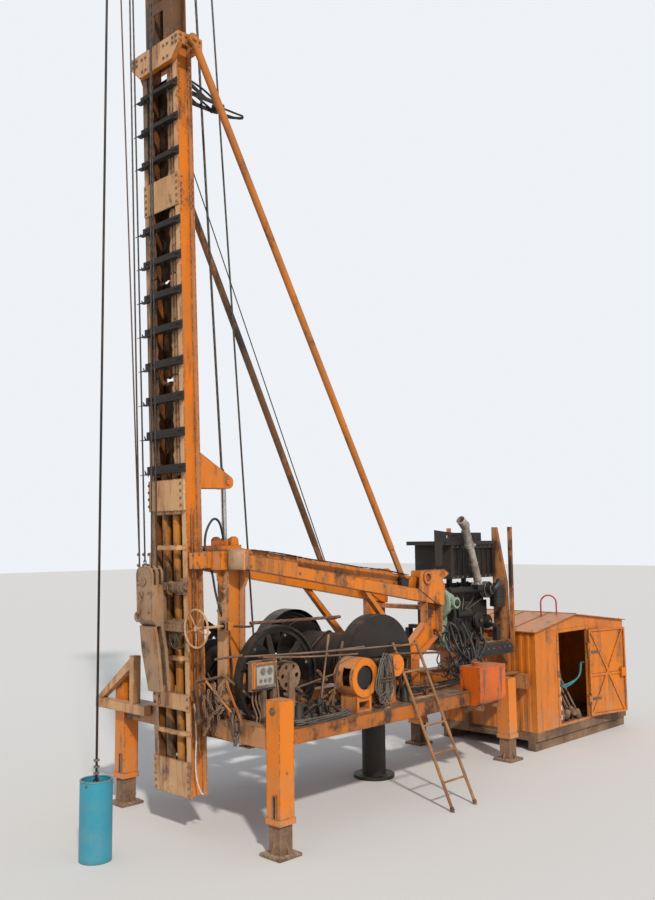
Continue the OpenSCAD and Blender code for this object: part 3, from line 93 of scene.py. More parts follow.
def make_camera():
    """The camera that was fitted to the photograph."""
    ahead = V(-cos(TURN), -sin(TURN), 0)
    across = V(-sin(TURN), cos(TURN), 0)
    forward = cos(PITCH) * ahead + sin(PITCH) * UP
    level_up = -sin(PITCH) * ahead + cos(PITCH) * UP
    right = cos(ROLL) * across + sin(ROLL) * level_up
    up = -sin(ROLL) * across + cos(ROLL) * level_up
    data = bpy.data.cameras.new("camera")
    data.lens = FOCAL_PIXELS * SENSOR / PICTURE_HIGH
    data.sensor_width = SENSOR
    data.clip_end = 400
    cam = place_object("camera", data)
    place = Matrix((right, up, -forward)).transposed().to_4x4()
    place.translation = P(*CAMERA_AT)
    cam.matrix_world = place
    bpy.context.scene.camera = cam


make_camera()


# Materials
class Nodes:
    """A small helper that makes shader nodes by type and links them."""

    def __init__(self, name):
        self.mat = bpy.data.materials.new(name)
        self.mat.use_nodes = True
        self.t = self.mat.node_tree
        self.bsdf = self.t.nodes["Principled BSDF"]
        self.co = self.t.nodes.new("ShaderNodeTexCoord")

    def new(self, kind, **props):
        n = self.t.nodes.new("ShaderNode" + kind)
        for k, v in props.items():
            setattr(n, k, v)
        return n

    def put(self, sock, v):
        if isinstance(v, (int, float)):
            sock.default_value = v
        elif isinstance(v, tuple):
            sock.default_value = (*v, 1)
        else:
            self.t.links.new(v, sock)

    def noise(self, scale, detail=6, rough=0.6, stretch=(1, 1, 1)):
        m, n = self.new("Mapping"), self.new("TexNoise")
        m.inputs["Scale"].default_value = stretch
        self.put(m.inputs["Vector"], self.co.outputs["Object"])
        for sock, v in (("Scale", scale), ("Detail", detail), ("Roughness", rough),
                        ("Vector", m.outputs["Vector"])):
            self.put(n.inputs[sock], v)
        return n.outputs["Fac"]

    def ramp(self, fac, *stops):
        n = self.new("ValToRGB")
        while len(n.color_ramp.elements) < len(stops):
            n.color_ramp.elements.new(0.5)
        for e, (pos, col) in zip(n.color_ramp.elements, stops):
            e.position = pos
            e.color = (*col, 1) if isinstance(col, tuple) else (col, col, col, 1)
        self.put(n.inputs["Fac"], fac)
        return n.outputs["Color"]

    def patches(self, grain, *stops):
        """Noise of a scale, detail, roughness and stretch, through a ramp."""
        return self.ramp(self.noise(*grain), *stops)

    def mix(self, fac, a, b, kind="MIX"):
        n = self.new("Mix", data_type="RGBA", blend_type=kind)
        for sock, v in ((0, fac), (6, a), (7, b)):
            self.put(n.inputs[sock], v)
        return n.outputs[2]

    def math(self, op, a, b=0.0, clamp=True):
        n = self.new("Math", operation=op, use_clamp=clamp)
        self.put(n.inputs[0], a)
        self.put(n.inputs[1], b)
        return n.outputs[0]

    def times(self, a, b, clamp=True):
        return self.math("MULTIPLY", a, b, clamp)

    def plus(self, a, b, clamp=True):
        return self.math("ADD", a, b, clamp)

    def split(self, vector):
        n = self.new("SeparateXYZ")
        self.put(n.inputs[0], vector)
        return n.outputs

    def edges(self, radius):
        """How near a point is to a sharp edge, from 0 to 1."""
        bevel = self.new("Bevel", samples=4)
        bevel.inputs["Radius"].default_value = radius
        dot = self.new("VectorMath", operation="DOT_PRODUCT")
        self.put(dot.inputs[0], bevel.outputs[0])
        self.put(dot.inputs[1], self.new("NewGeometry").outputs["True Normal"])
        return self.ramp(dot.outputs["Value"], (0.80, 1.0), (0.985, 0.0))

    def corners(self, reach):
        """Painted shade from ambient occlusion: 1 in the corners and where pieces meet, 0 on open faces."""
        n = self.new("AmbientOcclusion", samples=4)
        n.inputs["Distance"].default_value = reach
        return self.ramp(n.outputs["AO"], (0.35, 1.0), (0.80, 0.0))

    def bump(self, height, strength=0.3, distance=0.004):
        n = self.new("Bump")
        for sock, v in (("Strength", strength), ("Distance", distance), ("Height", height)):
            self.put(n.inputs[sock], v)
        self.put(self.bsdf.inputs["Normal"], n.outputs["Normal"])

    def finish(self, color, rough, metal):
        for sock, v in (("Base Color", color), ("Roughness", rough), ("Metallic", metal)):
            self.put(self.bsdf.inputs[sock], v)
        return self.mat


RUST_LIGHT = (0.27, 0.10, 0.035)
RUST_RUN = (0.33, 0.115, 0.028)
RUST_DARK = (0.07, 0.032, 0.017)
GREASE = (0.020, 0.015, 0.011)
DUST = (0.40, 0.29, 0.19)
# Pale tone of faces that look forward: painted sunlight, with some fading
SUNLIT_PALE = (0.64, 0.37, 0.19)


def paint(name, base, fade, wear=0.5, grime=0.3, rough=0.45, streak=0.5, sunlit_fade=0.0, inward_grease_shade=0.0, mud=0.6):
    """Old paint: faded patches, rust that runs down, chipped edges, grease and dust, with painted shade in
    the corners and painted sunlight on forward faces.

    The eighth argument is how far faces that look forward turn pale with painted sunlight and some fading,
    the ninth how dark with grease and painted shade the faces that look inward, and the right side, turn, mud
    how thick the splashes from the ground are.
    """
    m = Nodes(name)
    col = m.mix(m.patches((1.3, 5), (0.40, 0.0), (0.68, 1.0)), base, fade)
    face, place = m.split(m.co.outputs["Normal"]), m.split(m.co.outputs["Object"])
    # Faces that look forward turn pale: painted sunlight, with some fading
    if sunlit_fade:
        col = m.mix(m.ramp(face["X"], (0.55, 0.0), (0.80, sunlit_fade)), col, SUNLIT_PALE)
    # Rust that runs down the faces
    start, spread = 0.62 - 0.12 * streak, 0.46 - 0.13 * streak
    runs = m.patches((8.0, 7, 0.62, (1, 1, 0.14)), (start, 0.0), (start + 0.12, 1.0))
    patch = m.patches((2.2, 5), (spread, 0.0), (spread + 0.17, 1.0))
    tone = m.mix(m.patches((22.0, 5), (0.32, 0.0), (0.52, 1.0)), RUST_DARK, RUST_RUN)
    col = m.mix(m.times(m.times(runs, patch), 0.85), col, tone)
    # Chips, thickest near the edges
    near = m.times(m.edges(0.024), 0.13 + 0.12 * wear)
    chips = m.plus(m.noise(26.0, 9, 0.68), near, False)
    bare = m.ramp(chips, (0.700 - 0.06 * wear, 0.0), (0.718 - 0.06 * wear, 1.0))
    col = m.mix(bare, col, m.mix(m.patches((60.0, 3), (0.4, 0.0), (0.6, 1.0)), RUST_DARK, RUST_LIGHT))
    # Grease and soot in large blotches, and grease with painted shade in the corners
    soil = 0.67 - 0.17 * grime
    blot = m.patches((2.3, 11, 0.68, (1, 1, 0.70)), (soil, 0.0), (soil + 0.09, 1.0))
    corner_shade_and_grease = m.times(m.corners(0.14), m.patches((8.0, 6), (0.30, 0.25), (0.60, 1.0)))
    blot = m.math("MAXIMUM", blot, m.times(corner_shade_and_grease, 0.45 + 0.5 * grime))
    # Faces that look inward, and the right side, darken with grease and painted shade
    if inward_grease_shade:
        inward_grease_shade_mask = m.times(face["Y"], m.times(place["Y"], -6.0, False), False)
        inward_grease_shade_mask = m.times(m.ramp(inward_grease_shade_mask, (0.2, 0.0), (0.8, 1.0)), inward_grease_shade)
        inward_grease_shade_mask = m.times(inward_grease_shade_mask, m.patches((4.0, 7), (0.33, 0.55), (0.60, 1.0)))
        right = m.ramp(m.times(place["Y"], -3.0), (0.45, 0.0), (0.75, 0.85))
        right = m.times(right, m.patches((3.0, 9, 0.66, (1, 1, 0.5)), (0.42, 0.10), (0.56, 1.0)))
        blot = m.math("MAXIMUM", m.math("MAXIMUM", blot, inward_grease_shade_mask), right)
    col = m.mix(m.times(blot, 0.9), col, GREASE)
    # Dust on faces that look up, and mud splashed up from the ground
    dusty = m.times(m.ramp(face["Z"], (0.55, 0.0), (0.95, 1.0)),
                    m.patches((6.0, 6), (0.35, 0.15), (0.7, 0.75)))
    col = m.mix(dusty, col, DUST)
    splash = m.times(m.ramp(place["Z"], (0.25, mud), (0.90, 0.0)),
                     m.patches((5.0, 8, 0.65), (0.42, 0.10), (0.64, 1.0)))
    col = m.mix(splash, col, DUST)
    relief = m.plus(m.times(m.noise(5.0, 2), 0.5), m.times(m.noise(90.0, 4), 0.25))
    m.bump(m.math("SUBTRACT", relief, m.times(bare, 0.35)), 0.35, 0.006)
    return m.finish(col, m.plus(m.times(bare, 0.3), rough), 0.0)


def metal(name, dark, light, rough=0.55, metallic=0.35, scale=9.0, bump=0.4, dusty=0.6):
    """Bare, oily or rusty metal that varies between two colours."""
    m = Nodes(name)
    big = m.patches((scale * 0.35, 7, 0.65), (0.36, 0.0), (0.66, 1.0))
    fine = m.patches((scale * 5, 6, 0.7), (0.3, (0.55, 0.55, 0.55)), (0.75, (1.25, 1.2, 1.15)))
    col = m.mix(0.8, m.mix(big, dark, light), fine, "MULTIPLY")
    col = m.mix(m.times(m.edges(0.008), 0.35), col, tuple(min(1.0, 1.8 * c) for c in light))
    face = m.split(m.co.outputs["Normal"])
    powder = m.times(m.ramp(face["Z"], (0.6, 0.0), (0.95, dusty)),
                     m.patches((7.0, 6), (0.40, 0.0), (0.68, 1.0)))
    m.bump(m.noise(scale * 7, 6), bump, 0.003)
    return m.finish(m.mix(powder, col, DUST), m.plus(m.times(big, 0.25), rough - 0.1), metallic)


def strands(name, dark, light, lay=0.10, turns=3.0, metallic=0.45, rough=0.5):
    """Wire rope or twisted line: its strands wind along the piece's own length."""
    m = Nodes(name)
    uv = m.split(m.co.outputs["UV"])
    wind = m.plus(m.times(uv["X"], turns, False), m.math("DIVIDE", uv["Y"], lay, False), False)
    ridge = m.times(m.math("PINGPONG", wind, 0.5, False), 2.0)
    old = m.patches((3.0, 6), (0.42, 0.0), (0.66, 0.7))
    m.bump(ridge, 0.8, 0.003)
    return m.finish(m.mix(old, m.mix(ridge, dark, light), RUST_DARK), rough, metallic)


def plain(name, dark, light, rough=0.6, scale=20.0, bump=0.15):
    """Rubber, plastic or cloth tape: two close tones with a fine grain."""
    m = Nodes(name)
    m.bump(m.noise(scale * 6, 3), bump, 0.002)
    return m.finish(m.mix(m.patches((scale * 0.3, 5), (0.38, 0.0), (0.64, 1.0)), dark, light), rough, 0.0)


ORANGE = (0.74, 0.190, 0.003)
ORANGE_OLD = (0.64, 0.185, 0.012)
# Paints: fresh and faded colour, wear, grime, roughness, rust streaks, painted sunlight, grease and painted
# shade inside, mud
M = {
    "orange": paint("orange_paint", ORANGE, ORANGE_OLD, 0.55, 0.22, 0.42, 0.45),
    "tank": paint("red_orange_paint", (0.72, 0.120, 0.004), (0.50, 0.095, 0.008), 0.8, 0.72, 0.42, 0.9),
    # The beam, weathered, mast and dirty paints turn forward faces pale with painted sunlight and some fading
    "beam": paint("orange_paint_beams", ORANGE, (0.52, 0.17, 0.026), 0.85, 0.58, 0.5, 0.9, 0.45),
    "weathered": paint("orange_paint_weathered_sunlit", ORANGE, (0.52, 0.18, 0.030), 0.7, 0.42, 0.5, 0.65, 0.92),
    # The mast paint also darkens faces that look inward, and its right side, with grease and painted shade
    "mast": paint("orange_paint_mast", ORANGE, (0.50, 0.17, 0.026), 0.65, 0.45, 0.5, 0.75, 0.95, 1.0),
    "pipes": paint("orange_paint_pipes", (0.56, 0.20, 0.010), (0.30, 0.11, 0.016), 0.7, 0.80, 0.45, 0.9),
    "stay": paint("orange_paint_stay", (0.56, 0.17, 0.014), (0.36, 0.125, 0.026), 0.8, 0.55, 0.5, 0.6),
    "panel": paint("panel_paint", (0.42, 0.41, 0.36), (0.30, 0.28, 0.23), 0.6, 0.45, 0.55, 0.7),
    # Dark paint of the upper mast, its head, the right stay and the right strip: grease and painted shade
    "upper": paint("mast_paint_upper_greasy_shade", (0.150, 0.062, 0.018), (0.060, 0.040, 0.024), 0.8, 0.90, 0.55, 0.9),
    # Pale paint of the left strip: painted light, where the right strip has painted shade
    "strip": paint("mast_strip_paint_sunlit", (0.46, 0.27, 0.135), (0.24, 0.135, 0.065), 0.8, 0.62, 0.6, 1.0),
    # Near-black lining inside the mast: grease and painted shade
    "lining": paint("mast_lining_grease_and_shade", (0.050, 0.024, 0.012), (0.016, 0.011, 0.008), 0.9, 0.75, 0.6, 0.9),
    "dirty": paint("orange_paint_dirty", (0.50, 0.135, 0.006), (0.20, 0.075, 0.018), 0.85, 0.95, 0.5, 0.9,
                   0.4),
    "cabin": paint("orange_paint_cabin", (0.70, 0.180, 0.004), (0.52, 0.155, 0.014), 0.65, 0.42, 0.5, 0.85,
                   mud=0.4),
    "peach": paint("peach_paint", (0.64, 0.36, 0.17), (0.52, 0.28, 0.13), 0.7, 0.32, 0.6, 1.0),
    "block": paint("block_paint", (0.40, 0.235, 0.125), (0.25, 0.155, 0.088), 0.8, 0.70, 0.55, 0.8),
    "cyan": paint("cyan_paint", (0.018, 0.26, 0.36), (0.03, 0.32, 0.42), 0.6, 0.15, 0.45, 0.5, mud=0.15),
    "green": paint("green_paint", (0.24, 0.33, 0.23), (0.32, 0.39, 0.29), 0.4, 0.30, 0.55, 0.3),
    # Metals: dark and light colour, roughness, metallic, scale of the grain, bump
    "ladder": metal("rusty_ladder", (0.19, 0.080, 0.030), (0.46, 0.22, 0.085), 0.8, 0.0, 9.0),
    "mud": metal("dry_mud", (0.16, 0.105, 0.070), (0.34, 0.255, 0.185), 0.95, 0.0, 12.0),
    "rust": metal("rusty_steel", RUST_DARK, (0.20, 0.10, 0.05), 0.8, 0.1, 7.0),
    "brown": metal("rusty_brown_steel", (0.11, 0.060, 0.034), (0.33, 0.20, 0.12), 0.85, 0.0, 6.0),
    "grease": metal("greasy_steel", (0.005, 0.004, 0.003), (0.034, 0.023, 0.015), 0.6, 0.05, 9.0, 0.4, 0.25),
    "steel": metal("worn_steel", (0.10, 0.085, 0.07), (0.30, 0.27, 0.23), 0.5, 0.6, 14.0, 0.2),
    "chrome": metal("chrome_rod", (0.45, 0.44, 0.42), (0.72, 0.72, 0.70), 0.25, 1.0, 6.0, 0.1),
    "soot": metal("sooty_steel", (0.17, 0.105, 0.065), (0.60, 0.57, 0.53), 0.45, 0.45, 10.0),
    "rope": strands("wire_rope", (0.012, 0.010, 0.008), (0.11, 0.095, 0.080)),
    "red_rope": strands("rusty_rope", (0.050, 0.022, 0.014), (0.26, 0.12, 0.075), metallic=0.1, rough=0.8),
    "pale_rope": strands("grey_sling", (0.045, 0.038, 0.030), (0.22, 0.195, 0.165), metallic=0.3),
    "rubber": plain("black_rubber", (0.010, 0.010, 0.010), (0.045, 0.040, 0.036), 0.45),
    "white": plain("white_hose", (0.42, 0.40, 0.37), (0.62, 0.60, 0.56), 0.5),
    "teal": plain("teal_hose", (0.02, 0.16, 0.15), (0.04, 0.27, 0.25), 0.5),
    "red": plain("red_paint", (0.34, 0.03, 0.02), (0.48, 0.06, 0.04), 0.5),
}
LEG_FEET = ["leg_foot_" + place for place in ("front_left", "front_right", "rear_left", "rear_right")]
# Nodes that aren't named here are orange
NODE_LOOK = {
    "pipes": ["mast_pipes"],
    "stay": ["stay_left"],
    "tank": ["fuel_tank"],
    "beam": ["lift_bracket", "side_beams", "rear_trestle", "crosshead", "clutch_housing", "small_winch"],
    "weathered": ["front_posts", "mast_yoke"],
    "mast": ["mast_chords"],
    # The upper mast, its head and the right stay take the dark paint of grease and painted shade
    "upper": ["mast_upper", "mast_head", "stay_right"],
    "dirty": ["chassis_frame", "engine_deck"],
    "cabin": ["cabin_walls", "cabin_door", "cabin_roof"],
    "peach": ["mast_plates", "handwheel", "right_wing"],
    "block": ["travelling_block"],
    "ladder": ["ladder"],
    "brown": ["cabin_base", "control_stand"] + LEG_FEET,
    "rust": ["walkways", "winch_bearings"],
    "grease": ["centre_jack", "mast_rungs", "head_sheave_front", "head_sheave_rear", "rope_outrigger",
               "stay_shoe_left", "stay_shoe_right", "winch_rear", "winch_front", "capstan", "engine_block",
               "radiator", "drum_guard"],
    "chrome": ["lift_rod"],
    "cyan": ["drop_hammer"],
    "green": ["generator"],
    "soot": ["exhaust_pipe"],
    "rope": ["hammer_rope"],
}
look_of = {node: look for look, nodes in NODE_LOOK.items() for node in nodes}
for name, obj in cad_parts.items():
    obj.data.materials.clear()
    obj.data.materials.append(M[look_of.get(name, "orange")])


# Shapes
def circle(n):
    """The angles of n even steps round a circle."""
    return [2 * pi * k / n for k in range(n)]


def spoke(a):
    """A direction in the machine's side view."""
    return V(cos(a), 0, sin(a))


def about(axis):
    """The axis as a unit vector, and two more across it."""
    w = Vector(axis).normalized()
    u = w.orthogonal().normalized()
    return w, u, w.cross(u)


def belt(n, base=0, top=None):
    """The side faces between two rings of n points."""
    top = n if top is None else top
    return [(base + k, base + (k + 1) % n, top + (k + 1) % n, top + k) for k in range(n)]


class Build:
    """Gathers shapes into one mesh, whose place is in its points."""

    def __init__(self):
        self.points, self.faces, self.smooth, self.uvs = [], [], [], []

    def add(self, points, faces, smooth=False, uvs=None):
        base = len(self.points)
        self.points += [tuple(p) for p in points]
        for i, f in enumerate(faces):
            self.faces.append(tuple(base + k for k in f))
            self.smooth.append(smooth)
            self.uvs.append(uvs[i] if uvs else [(0.0, 0.0)] * len(f))

    def tube(self, path, r, sides=10, closed=False):
        """A round tube along a path. r is one radius or one for each point."""
        path = [Vector(p) for p in path]
        n = len(path)
        radii = r if isinstance(r, (list, tuple)) else [r] * n
        side, points, run = None, [], [0.0]
        for i in range(n):
            before = path[i - 1] if i or closed else path[i]
            after = path[(i + 1) % n] if i < n - 1 or closed else path[i]
            t = (after - before).normalized()
            side = t.orthogonal().normalized() if side is None else (side - t * side.dot(t)).normalized()
            up = t.cross(side)
            points += [path[i] + radii[i] * (cos(a) * side + sin(a) * up) for a in circle(sides)]
            run.append(run[-1] + (path[(i + 1) % n] - path[i]).length)
        faces, uvs = [], []
        for i in range(n if closed else n - 1):
            faces += belt(sides, i * sides, (i + 1) % n * sides)
            for k in range(sides):
                a, c = k / sides, (k + 1) / sides
                uvs.append([(a, run[i]), (c, run[i]), (c, run[i + 1]), (a, run[i + 1])])
        self.add(points, faces, True, uvs)
        if not closed:
            self.add(points[:sides], [tuple(reversed(range(sides)))])
            self.add(points[-sides:], [tuple(range(sides))])

    def bend(self, points, per, r, sides=8, closed=False):
        """A tube along a smooth line through the points."""
        self.tube(curve(points, per, closed), r, sides, closed)

    def rod(self, a, b, r, sides=14):
        self.tube([a, b], r, sides)

    def box(self, centre, size, axes=(FORE, LEFT, UP)):
        h = [Vector(a).normalized() * s / 2 for a, s in zip(axes, size)]
        points = [Vector(centre) + x * h[0] + y * h[1] + z * h[2]
                  for x in SIDES for y in SIDES for z in SIDES]
        self.add(points, [(0, 1, 3, 2), (4, 6, 7, 5), (0, 4, 5, 1), (2, 3, 7, 6), (0, 2, 6, 4), (1, 5, 7, 3)])

    def plate(self, corners, origin, u, v, t):
        """A flat plate: corners in the plane of u and v, with its thickness t along their cross product."""
        o, u, v = Vector(origin), Vector(u).normalized(), Vector(v).normalized()
        w = u.cross(v)
        n = len(corners)
        points = [o + a * u + b * v + h * w for h in (0, t) for a, b in corners]
        self.add(points, [tuple(reversed(range(n))), tuple(range(n, 2 * n))] + belt(n))

    def revolve(self, profile, origin, axis, sides=40):
        """A closed profile of radius and distance along the axis, turned about it."""
        w, u, v = about(axis)
        n = len(profile)
        points = [Vector(origin) + r * (cos(a) * u + sin(a) * v) + h * w
                  for a in circle(sides) for r, h in profile]
        faces = []
        for k in range(sides):
            q = (k + 1) % sides
            faces += [(k * n + i, q * n + i, q * n + (i + 1) % n, k * n + (i + 1) % n) for i in range(n)]
        self.add(points, faces, True)

    def bolt(self, at, axis, r=0.013, high=0.011):
        """A hexagon bolt head on its washer, with the thread's end."""
        w, u, v = about(axis)
        for n, radius, low, top in ((12, 1.35 * r, 0, 0.25 * high), (6, r, 0.25 * high, high),
                                    (8, 0.5 * r, high, 1.3 * high)):
            points = [Vector(at) + radius * (cos(a) * u + sin(a) * v) + h * w
                      for h in (low, top) for a in circle(n)]
            self.add(points, [tuple(range(n, 2 * n))] + belt(n))

    def bolts(self, places, axis, r=0.013, high=0.011):
        for at in places:
            self.bolt(at, axis, r, high)

    def ring(self, centre, axis, radius, r, turns=40, sides=8, start=0.0, sweep=2 * pi):
        """A round bar bent to a circle or an arc about an axis."""
        _, u, v = about(axis)
        whole = abs(sweep - 2 * pi) < 1e-6
        steps = turns if whole else turns + 1
        angles = [start + sweep * k / turns for k in range(steps)]
        self.tube([Vector(centre) + radius * (cos(a) * u + sin(a) * v) for a in angles], r, sides, whole)

    def done(self, name, body, mat):
        mesh = bpy.data.meshes.new(name)
        mesh.from_pydata(self.points, [], self.faces)
        mesh.polygons.foreach_set("use_smooth", self.smooth)
        layer = mesh.uv_layers.new(name="UVMap")
        layer.data.foreach_set("uv", [c for face in self.uvs for pair in face for c in pair])
        form = bmesh.new()
        form.from_mesh(mesh)
        bmesh.ops.recalc_face_normals(form, faces=form.faces)
        form.to_mesh(mesh)
        form.free()
        obj = place_object(name, mesh)
        obj.data.materials.append(M[mat])
        if body:
            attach(obj, body)
        return obj


def curve(points, per=8, closed=False):
    """A smooth line through the points."""
    pts = [Vector(p) for p in points]
    n = len(pts)
    out = []
    for i in range(n if closed else n - 1):
        p0 = pts[(i - 1) % n] if closed or i else pts[0] * 2 - pts[1]
        p1, p2 = pts[i], pts[(i + 1) % n]
        p3 = pts[(i + 2) % n] if closed or i < n - 2 else p2 * 2 - p1
        for k in range(per):
            t = k / per
            out.append(0.5 * (2 * p1 + (p2 - p0) * t + (2 * p0 - 5 * p1 + 4 * p2 - p3) * t * t
                              + (3 * p1 - p0 - 3 * p2 + p3) * t ** 3))
    if not closed:
        out.append(pts[-1])
    return out


def straight(a, b, steps):
    """Evenly spaced points from a to b."""
    a, b = Vector(a), Vector(b)
    return [a.lerp(b, k / steps) for k in range(steps + 1)]


def arc(centre, axis_u, axis_v, radius, start, end, steps=16):
    """Points on a circle from one angle to another, in degrees, from axis_u towards axis_v."""
    angles = [radians(start + (end - start) * k / steps) for k in range(steps + 1)]
    return [Vector(centre) + radius * (cos(a) * Vector(axis_u) + sin(a) * Vector(axis_v)) for a in angles]


def jitter(amount):
    """A small random step in each direction."""
    return Vector([pick(-amount, amount) for _ in range(3)])


def middle(node):
    """The middle of a node's box."""
    low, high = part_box(node)
    return (Vector(low) + Vector(high)) / 2


# Mast: bolts, rung tips, clamps and pads
YOKE_FACE = 0.0603
# The upper plate takes the place of the ninth rung
RUNG_LOW, RUNG_PITCH, RUNG_COUNT, RUNG_LEFT_OUT = 3.33, 0.38, 12, 8
RUNGS = [RUNG_LOW + RUNG_PITCH * i for i in range(RUNG_COUNT) if i != RUNG_LEFT_OUT]
# Lower and upper edges of the windows between the mast's plates
LOWER_BAYS = ((0.38, 0.85), (1.06, 1.34), (1.36, 1.74), (1.78, 2.91))
UPPER_BAYS = ((3.28, 4.36), (4.39, 5.46), (5.48, 6.55), (6.58, 7.74))


def mast_bolts():
    """Bolts round the mast's plates, on its yoke and along its splices."""
    b = Build()
    half = MAST_W / 2
    # Heights of the lower and upper edge of each plate, and how thick it is
    for low, high, thick in ((0.0, 0.36, 0.0143), (0.87, 1.04, 0.0123), (2.95, 3.25, 0.0403),
                             (6.2, 6.56, 0.0103)):
        steps = max(2, round((high - low) / 0.075))
        for k in range(steps):
            w = low + (high - low) * (k + 0.5) / steps
            b.bolts([on_mast(thick, v, w) for v in (0.035 - half, half - 0.035)], MAST_FORE)
    # Yoke's front bar and cheeks, in pairs
    b.bolts([on_mast(YOKE_FACE, v, w) for v in (-0.40, -0.34, 0.34, 0.40) for w in (7.955, 8.015)],
            MAST_FORE, 0.016, 0.014)
    b.bolts([on_mast(YOKE_FACE, v, w) for v in (-0.24, -0.17, 0.17, 0.24) for w in (7.85, 7.99)], MAST_FORE)
    for side in SIDES:
        b.bolts([on_mast(u, side * 0.44, w) for u in (-0.225, -0.16, -0.04, 0.03) for w in (7.96, 8.02)],
                side * LEFT, 0.014)
        # Splices in the chords' flanges
        b.bolts([on_mast(u, side * half, low + 0.035 + 0.068 * k)
                 for low in (6.2, 7.45) for k in range(5) for u in (-0.03, -0.17)], side * LEFT, 0.011)
    # Joint between the lower and upper mast
    joint = [on_mast(u, v, 8.085) for v in (-0.21, -0.15, 0.15, 0.21) for u in (-0.16, -0.04)]
    b.bolts(joint, MAST_UP, 0.015)
    b.done("mast_bolts", "mast", "brown")


def rung_tips():
    """Pointed ends on the rungs' right side, with bolts along the rungs."""
    b = Build()
    end = -MAST_W / 2 - 0.04
    for w in RUNGS:
        reach = pick(0.045, 0.075)
        b.plate([(end, 0.0), (end, 0.008), (end - reach, 0.062), (end - reach + 0.012, 0.018)],
                on_mast(0.0003, 0, w), LEFT, MAST_UP, 0.008)
        b.plate([(end, 0.0), (end, 0.007), (end - 0.8 * reach, 0.006), (end - reach, 0.0)],
                on_mast(0.062, 0, w), LEFT, MAST_UP, 0.008)
        b.bolts([on_mast(0.0083, v, w + 0.065) for v in (-0.29, -0.23, 0.23, 0.28)], MAST_FORE, 0.010)
    b.done("rung_tips", "mast", "grease")


def rung_grease():
    """Clotted grease hanging from the rungs' shelves."""
    b = Build()
    for w in RUNGS:
        for _ in range(7):
            v, u = pick(-0.30, 0.28), pick(0.02, 0.06)
            drop = pick(0.015, 0.06)
            top = on_mast(u, v, w + 0.004)
            path = [top, top - 0.4 * drop * MAST_UP + jitter(0.003), top - drop * MAST_UP + jitter(0.004)]
            b.tube(path, [pick(0.006, 0.012), 0.006, 0.002], 6)
    b.done("rung_grease", "mast", "grease")


def mast_clamps():
    """Padded sleeves clamped across the chords, with the wire bundle tied below the lower one."""
    sleeves = Build()
    front = 0.055
    swell = [0.052, 0.056, 0.055, 0.057, 0.056, 0.058, 0.056, 0.057, 0.050]
    for y0, y1, w in ((0.09, 0.33, 2.135), (-0.02, 0.31, 1.735)):
        path = straight(on_mast(front, y0, w), on_mast(front, y1, w), 8)
        sleeves.tube([p + jitter(0.003) for p in path], swell, 18)
        for k in (1, 4, 7):
            sleeves.ring(path[k], LEFT, 0.059, 0.004, 24, 6)
        sleeves.rod(on_mast(front, y1 - 0.002, w), on_mast(front, y1 + 0.035, w), 0.020, 12)
        sleeves.box(on_mast(0.022, y1 - 0.03, w), (0.03, 0.03, 0.10), MAST_AXES)
    sleeves.done("mast_pads", "mast", "brown")
    wires = Build()
    for k in range(9):
        c = on_mast(0.085 + pick(-0.02, 0.03), 0.20 + pick(-0.04, 0.05), 1.60 + pick(-0.03, 0.03))
        tilt = (MAST_FORE + jitter(0.5)).normalized()
        wires.ring(c, tilt, pick(0.045, 0.085), 0.0035, 26, 6, pick(0, 6), pick(4.6, 6.2))
    for k in range(5):
        a = on_mast(0.06, 0.12 + 0.035 * k, 1.69)
        wires.bend([a, a + V(0.03, 0.0, -0.05) + jitter(0.01), a + V(0.035, 0.02, -0.13) + jitter(0.03)],
                   5, 0.003, 6)
    wires.done("wire_bundle", "mast", "pale_rope")


def mast_linings():
    """Rough plates between the chords where the block and its arms run, near black with grease and painted
    shade.
    """
    b = Build()
    cols, v0, wide, deep, thick = 9, -0.235, 0.44, -0.150, 0.012
    for low, high in LOWER_BAYS + UPPER_BAYS:
        rows = 2 + round((high - low) / 0.06)
        points = []
        for i in range(rows + 1):
            ragged = 0.02 if i in (0, rows) else 0.0
            for k in range(cols + 1):
                v, w = v0 + wide * k / cols, low + (high - low) * i / rows
                points.append(on_mast(deep + pick(-0.012, 0.012), v, w + pick(-ragged, ragged)))
        n, line_n = len(points), cols + 1
        faces = [(a, a + 1, a + line_n + 1, a + line_n)
                 for i in range(rows) for a in range(i * line_n, i * line_n + cols)]
        rim = list(range(line_n)) + [(i + 1) * line_n - 1 for i in range(1, rows + 1)]
        rim += [rows * line_n + k for k in range(cols - 1, -1, -1)]
        rim += [i * line_n for i in range(rows - 1, 0, -1)]
        sides = [(a, c, n + c, n + a) for a, c in zip(rim, rim[1:] + rim[:1])]
        back = [p - thick * MAST_FORE for p in points]
        b.add(points + back, faces + [tuple(n + k for k in reversed(f)) for f in faces] + sides, True)
    b.done("mast_back_plates", "mast", "lining")
    # Dark sheets over the chords' inner faces: grease and painted shade
    inner = Build()
    for low, high in UPPER_BAYS:
        rows = round((high - low) / 0.09)
        for v in (-0.2425, 0.2085):
            edge = [(0.018 + pick(0.0, 0.012), low + (high - low) * i / rows) for i in range(rows + 1)]
            edge += [(0.148, high), (0.148, low)]
            inner.plate(edge, on_mast(0, v, 0), -1 * MAST_FORE, MAST_UP, -0.004)
    inner.done("mast_inner_grease_and_shade", "mast", "lining")


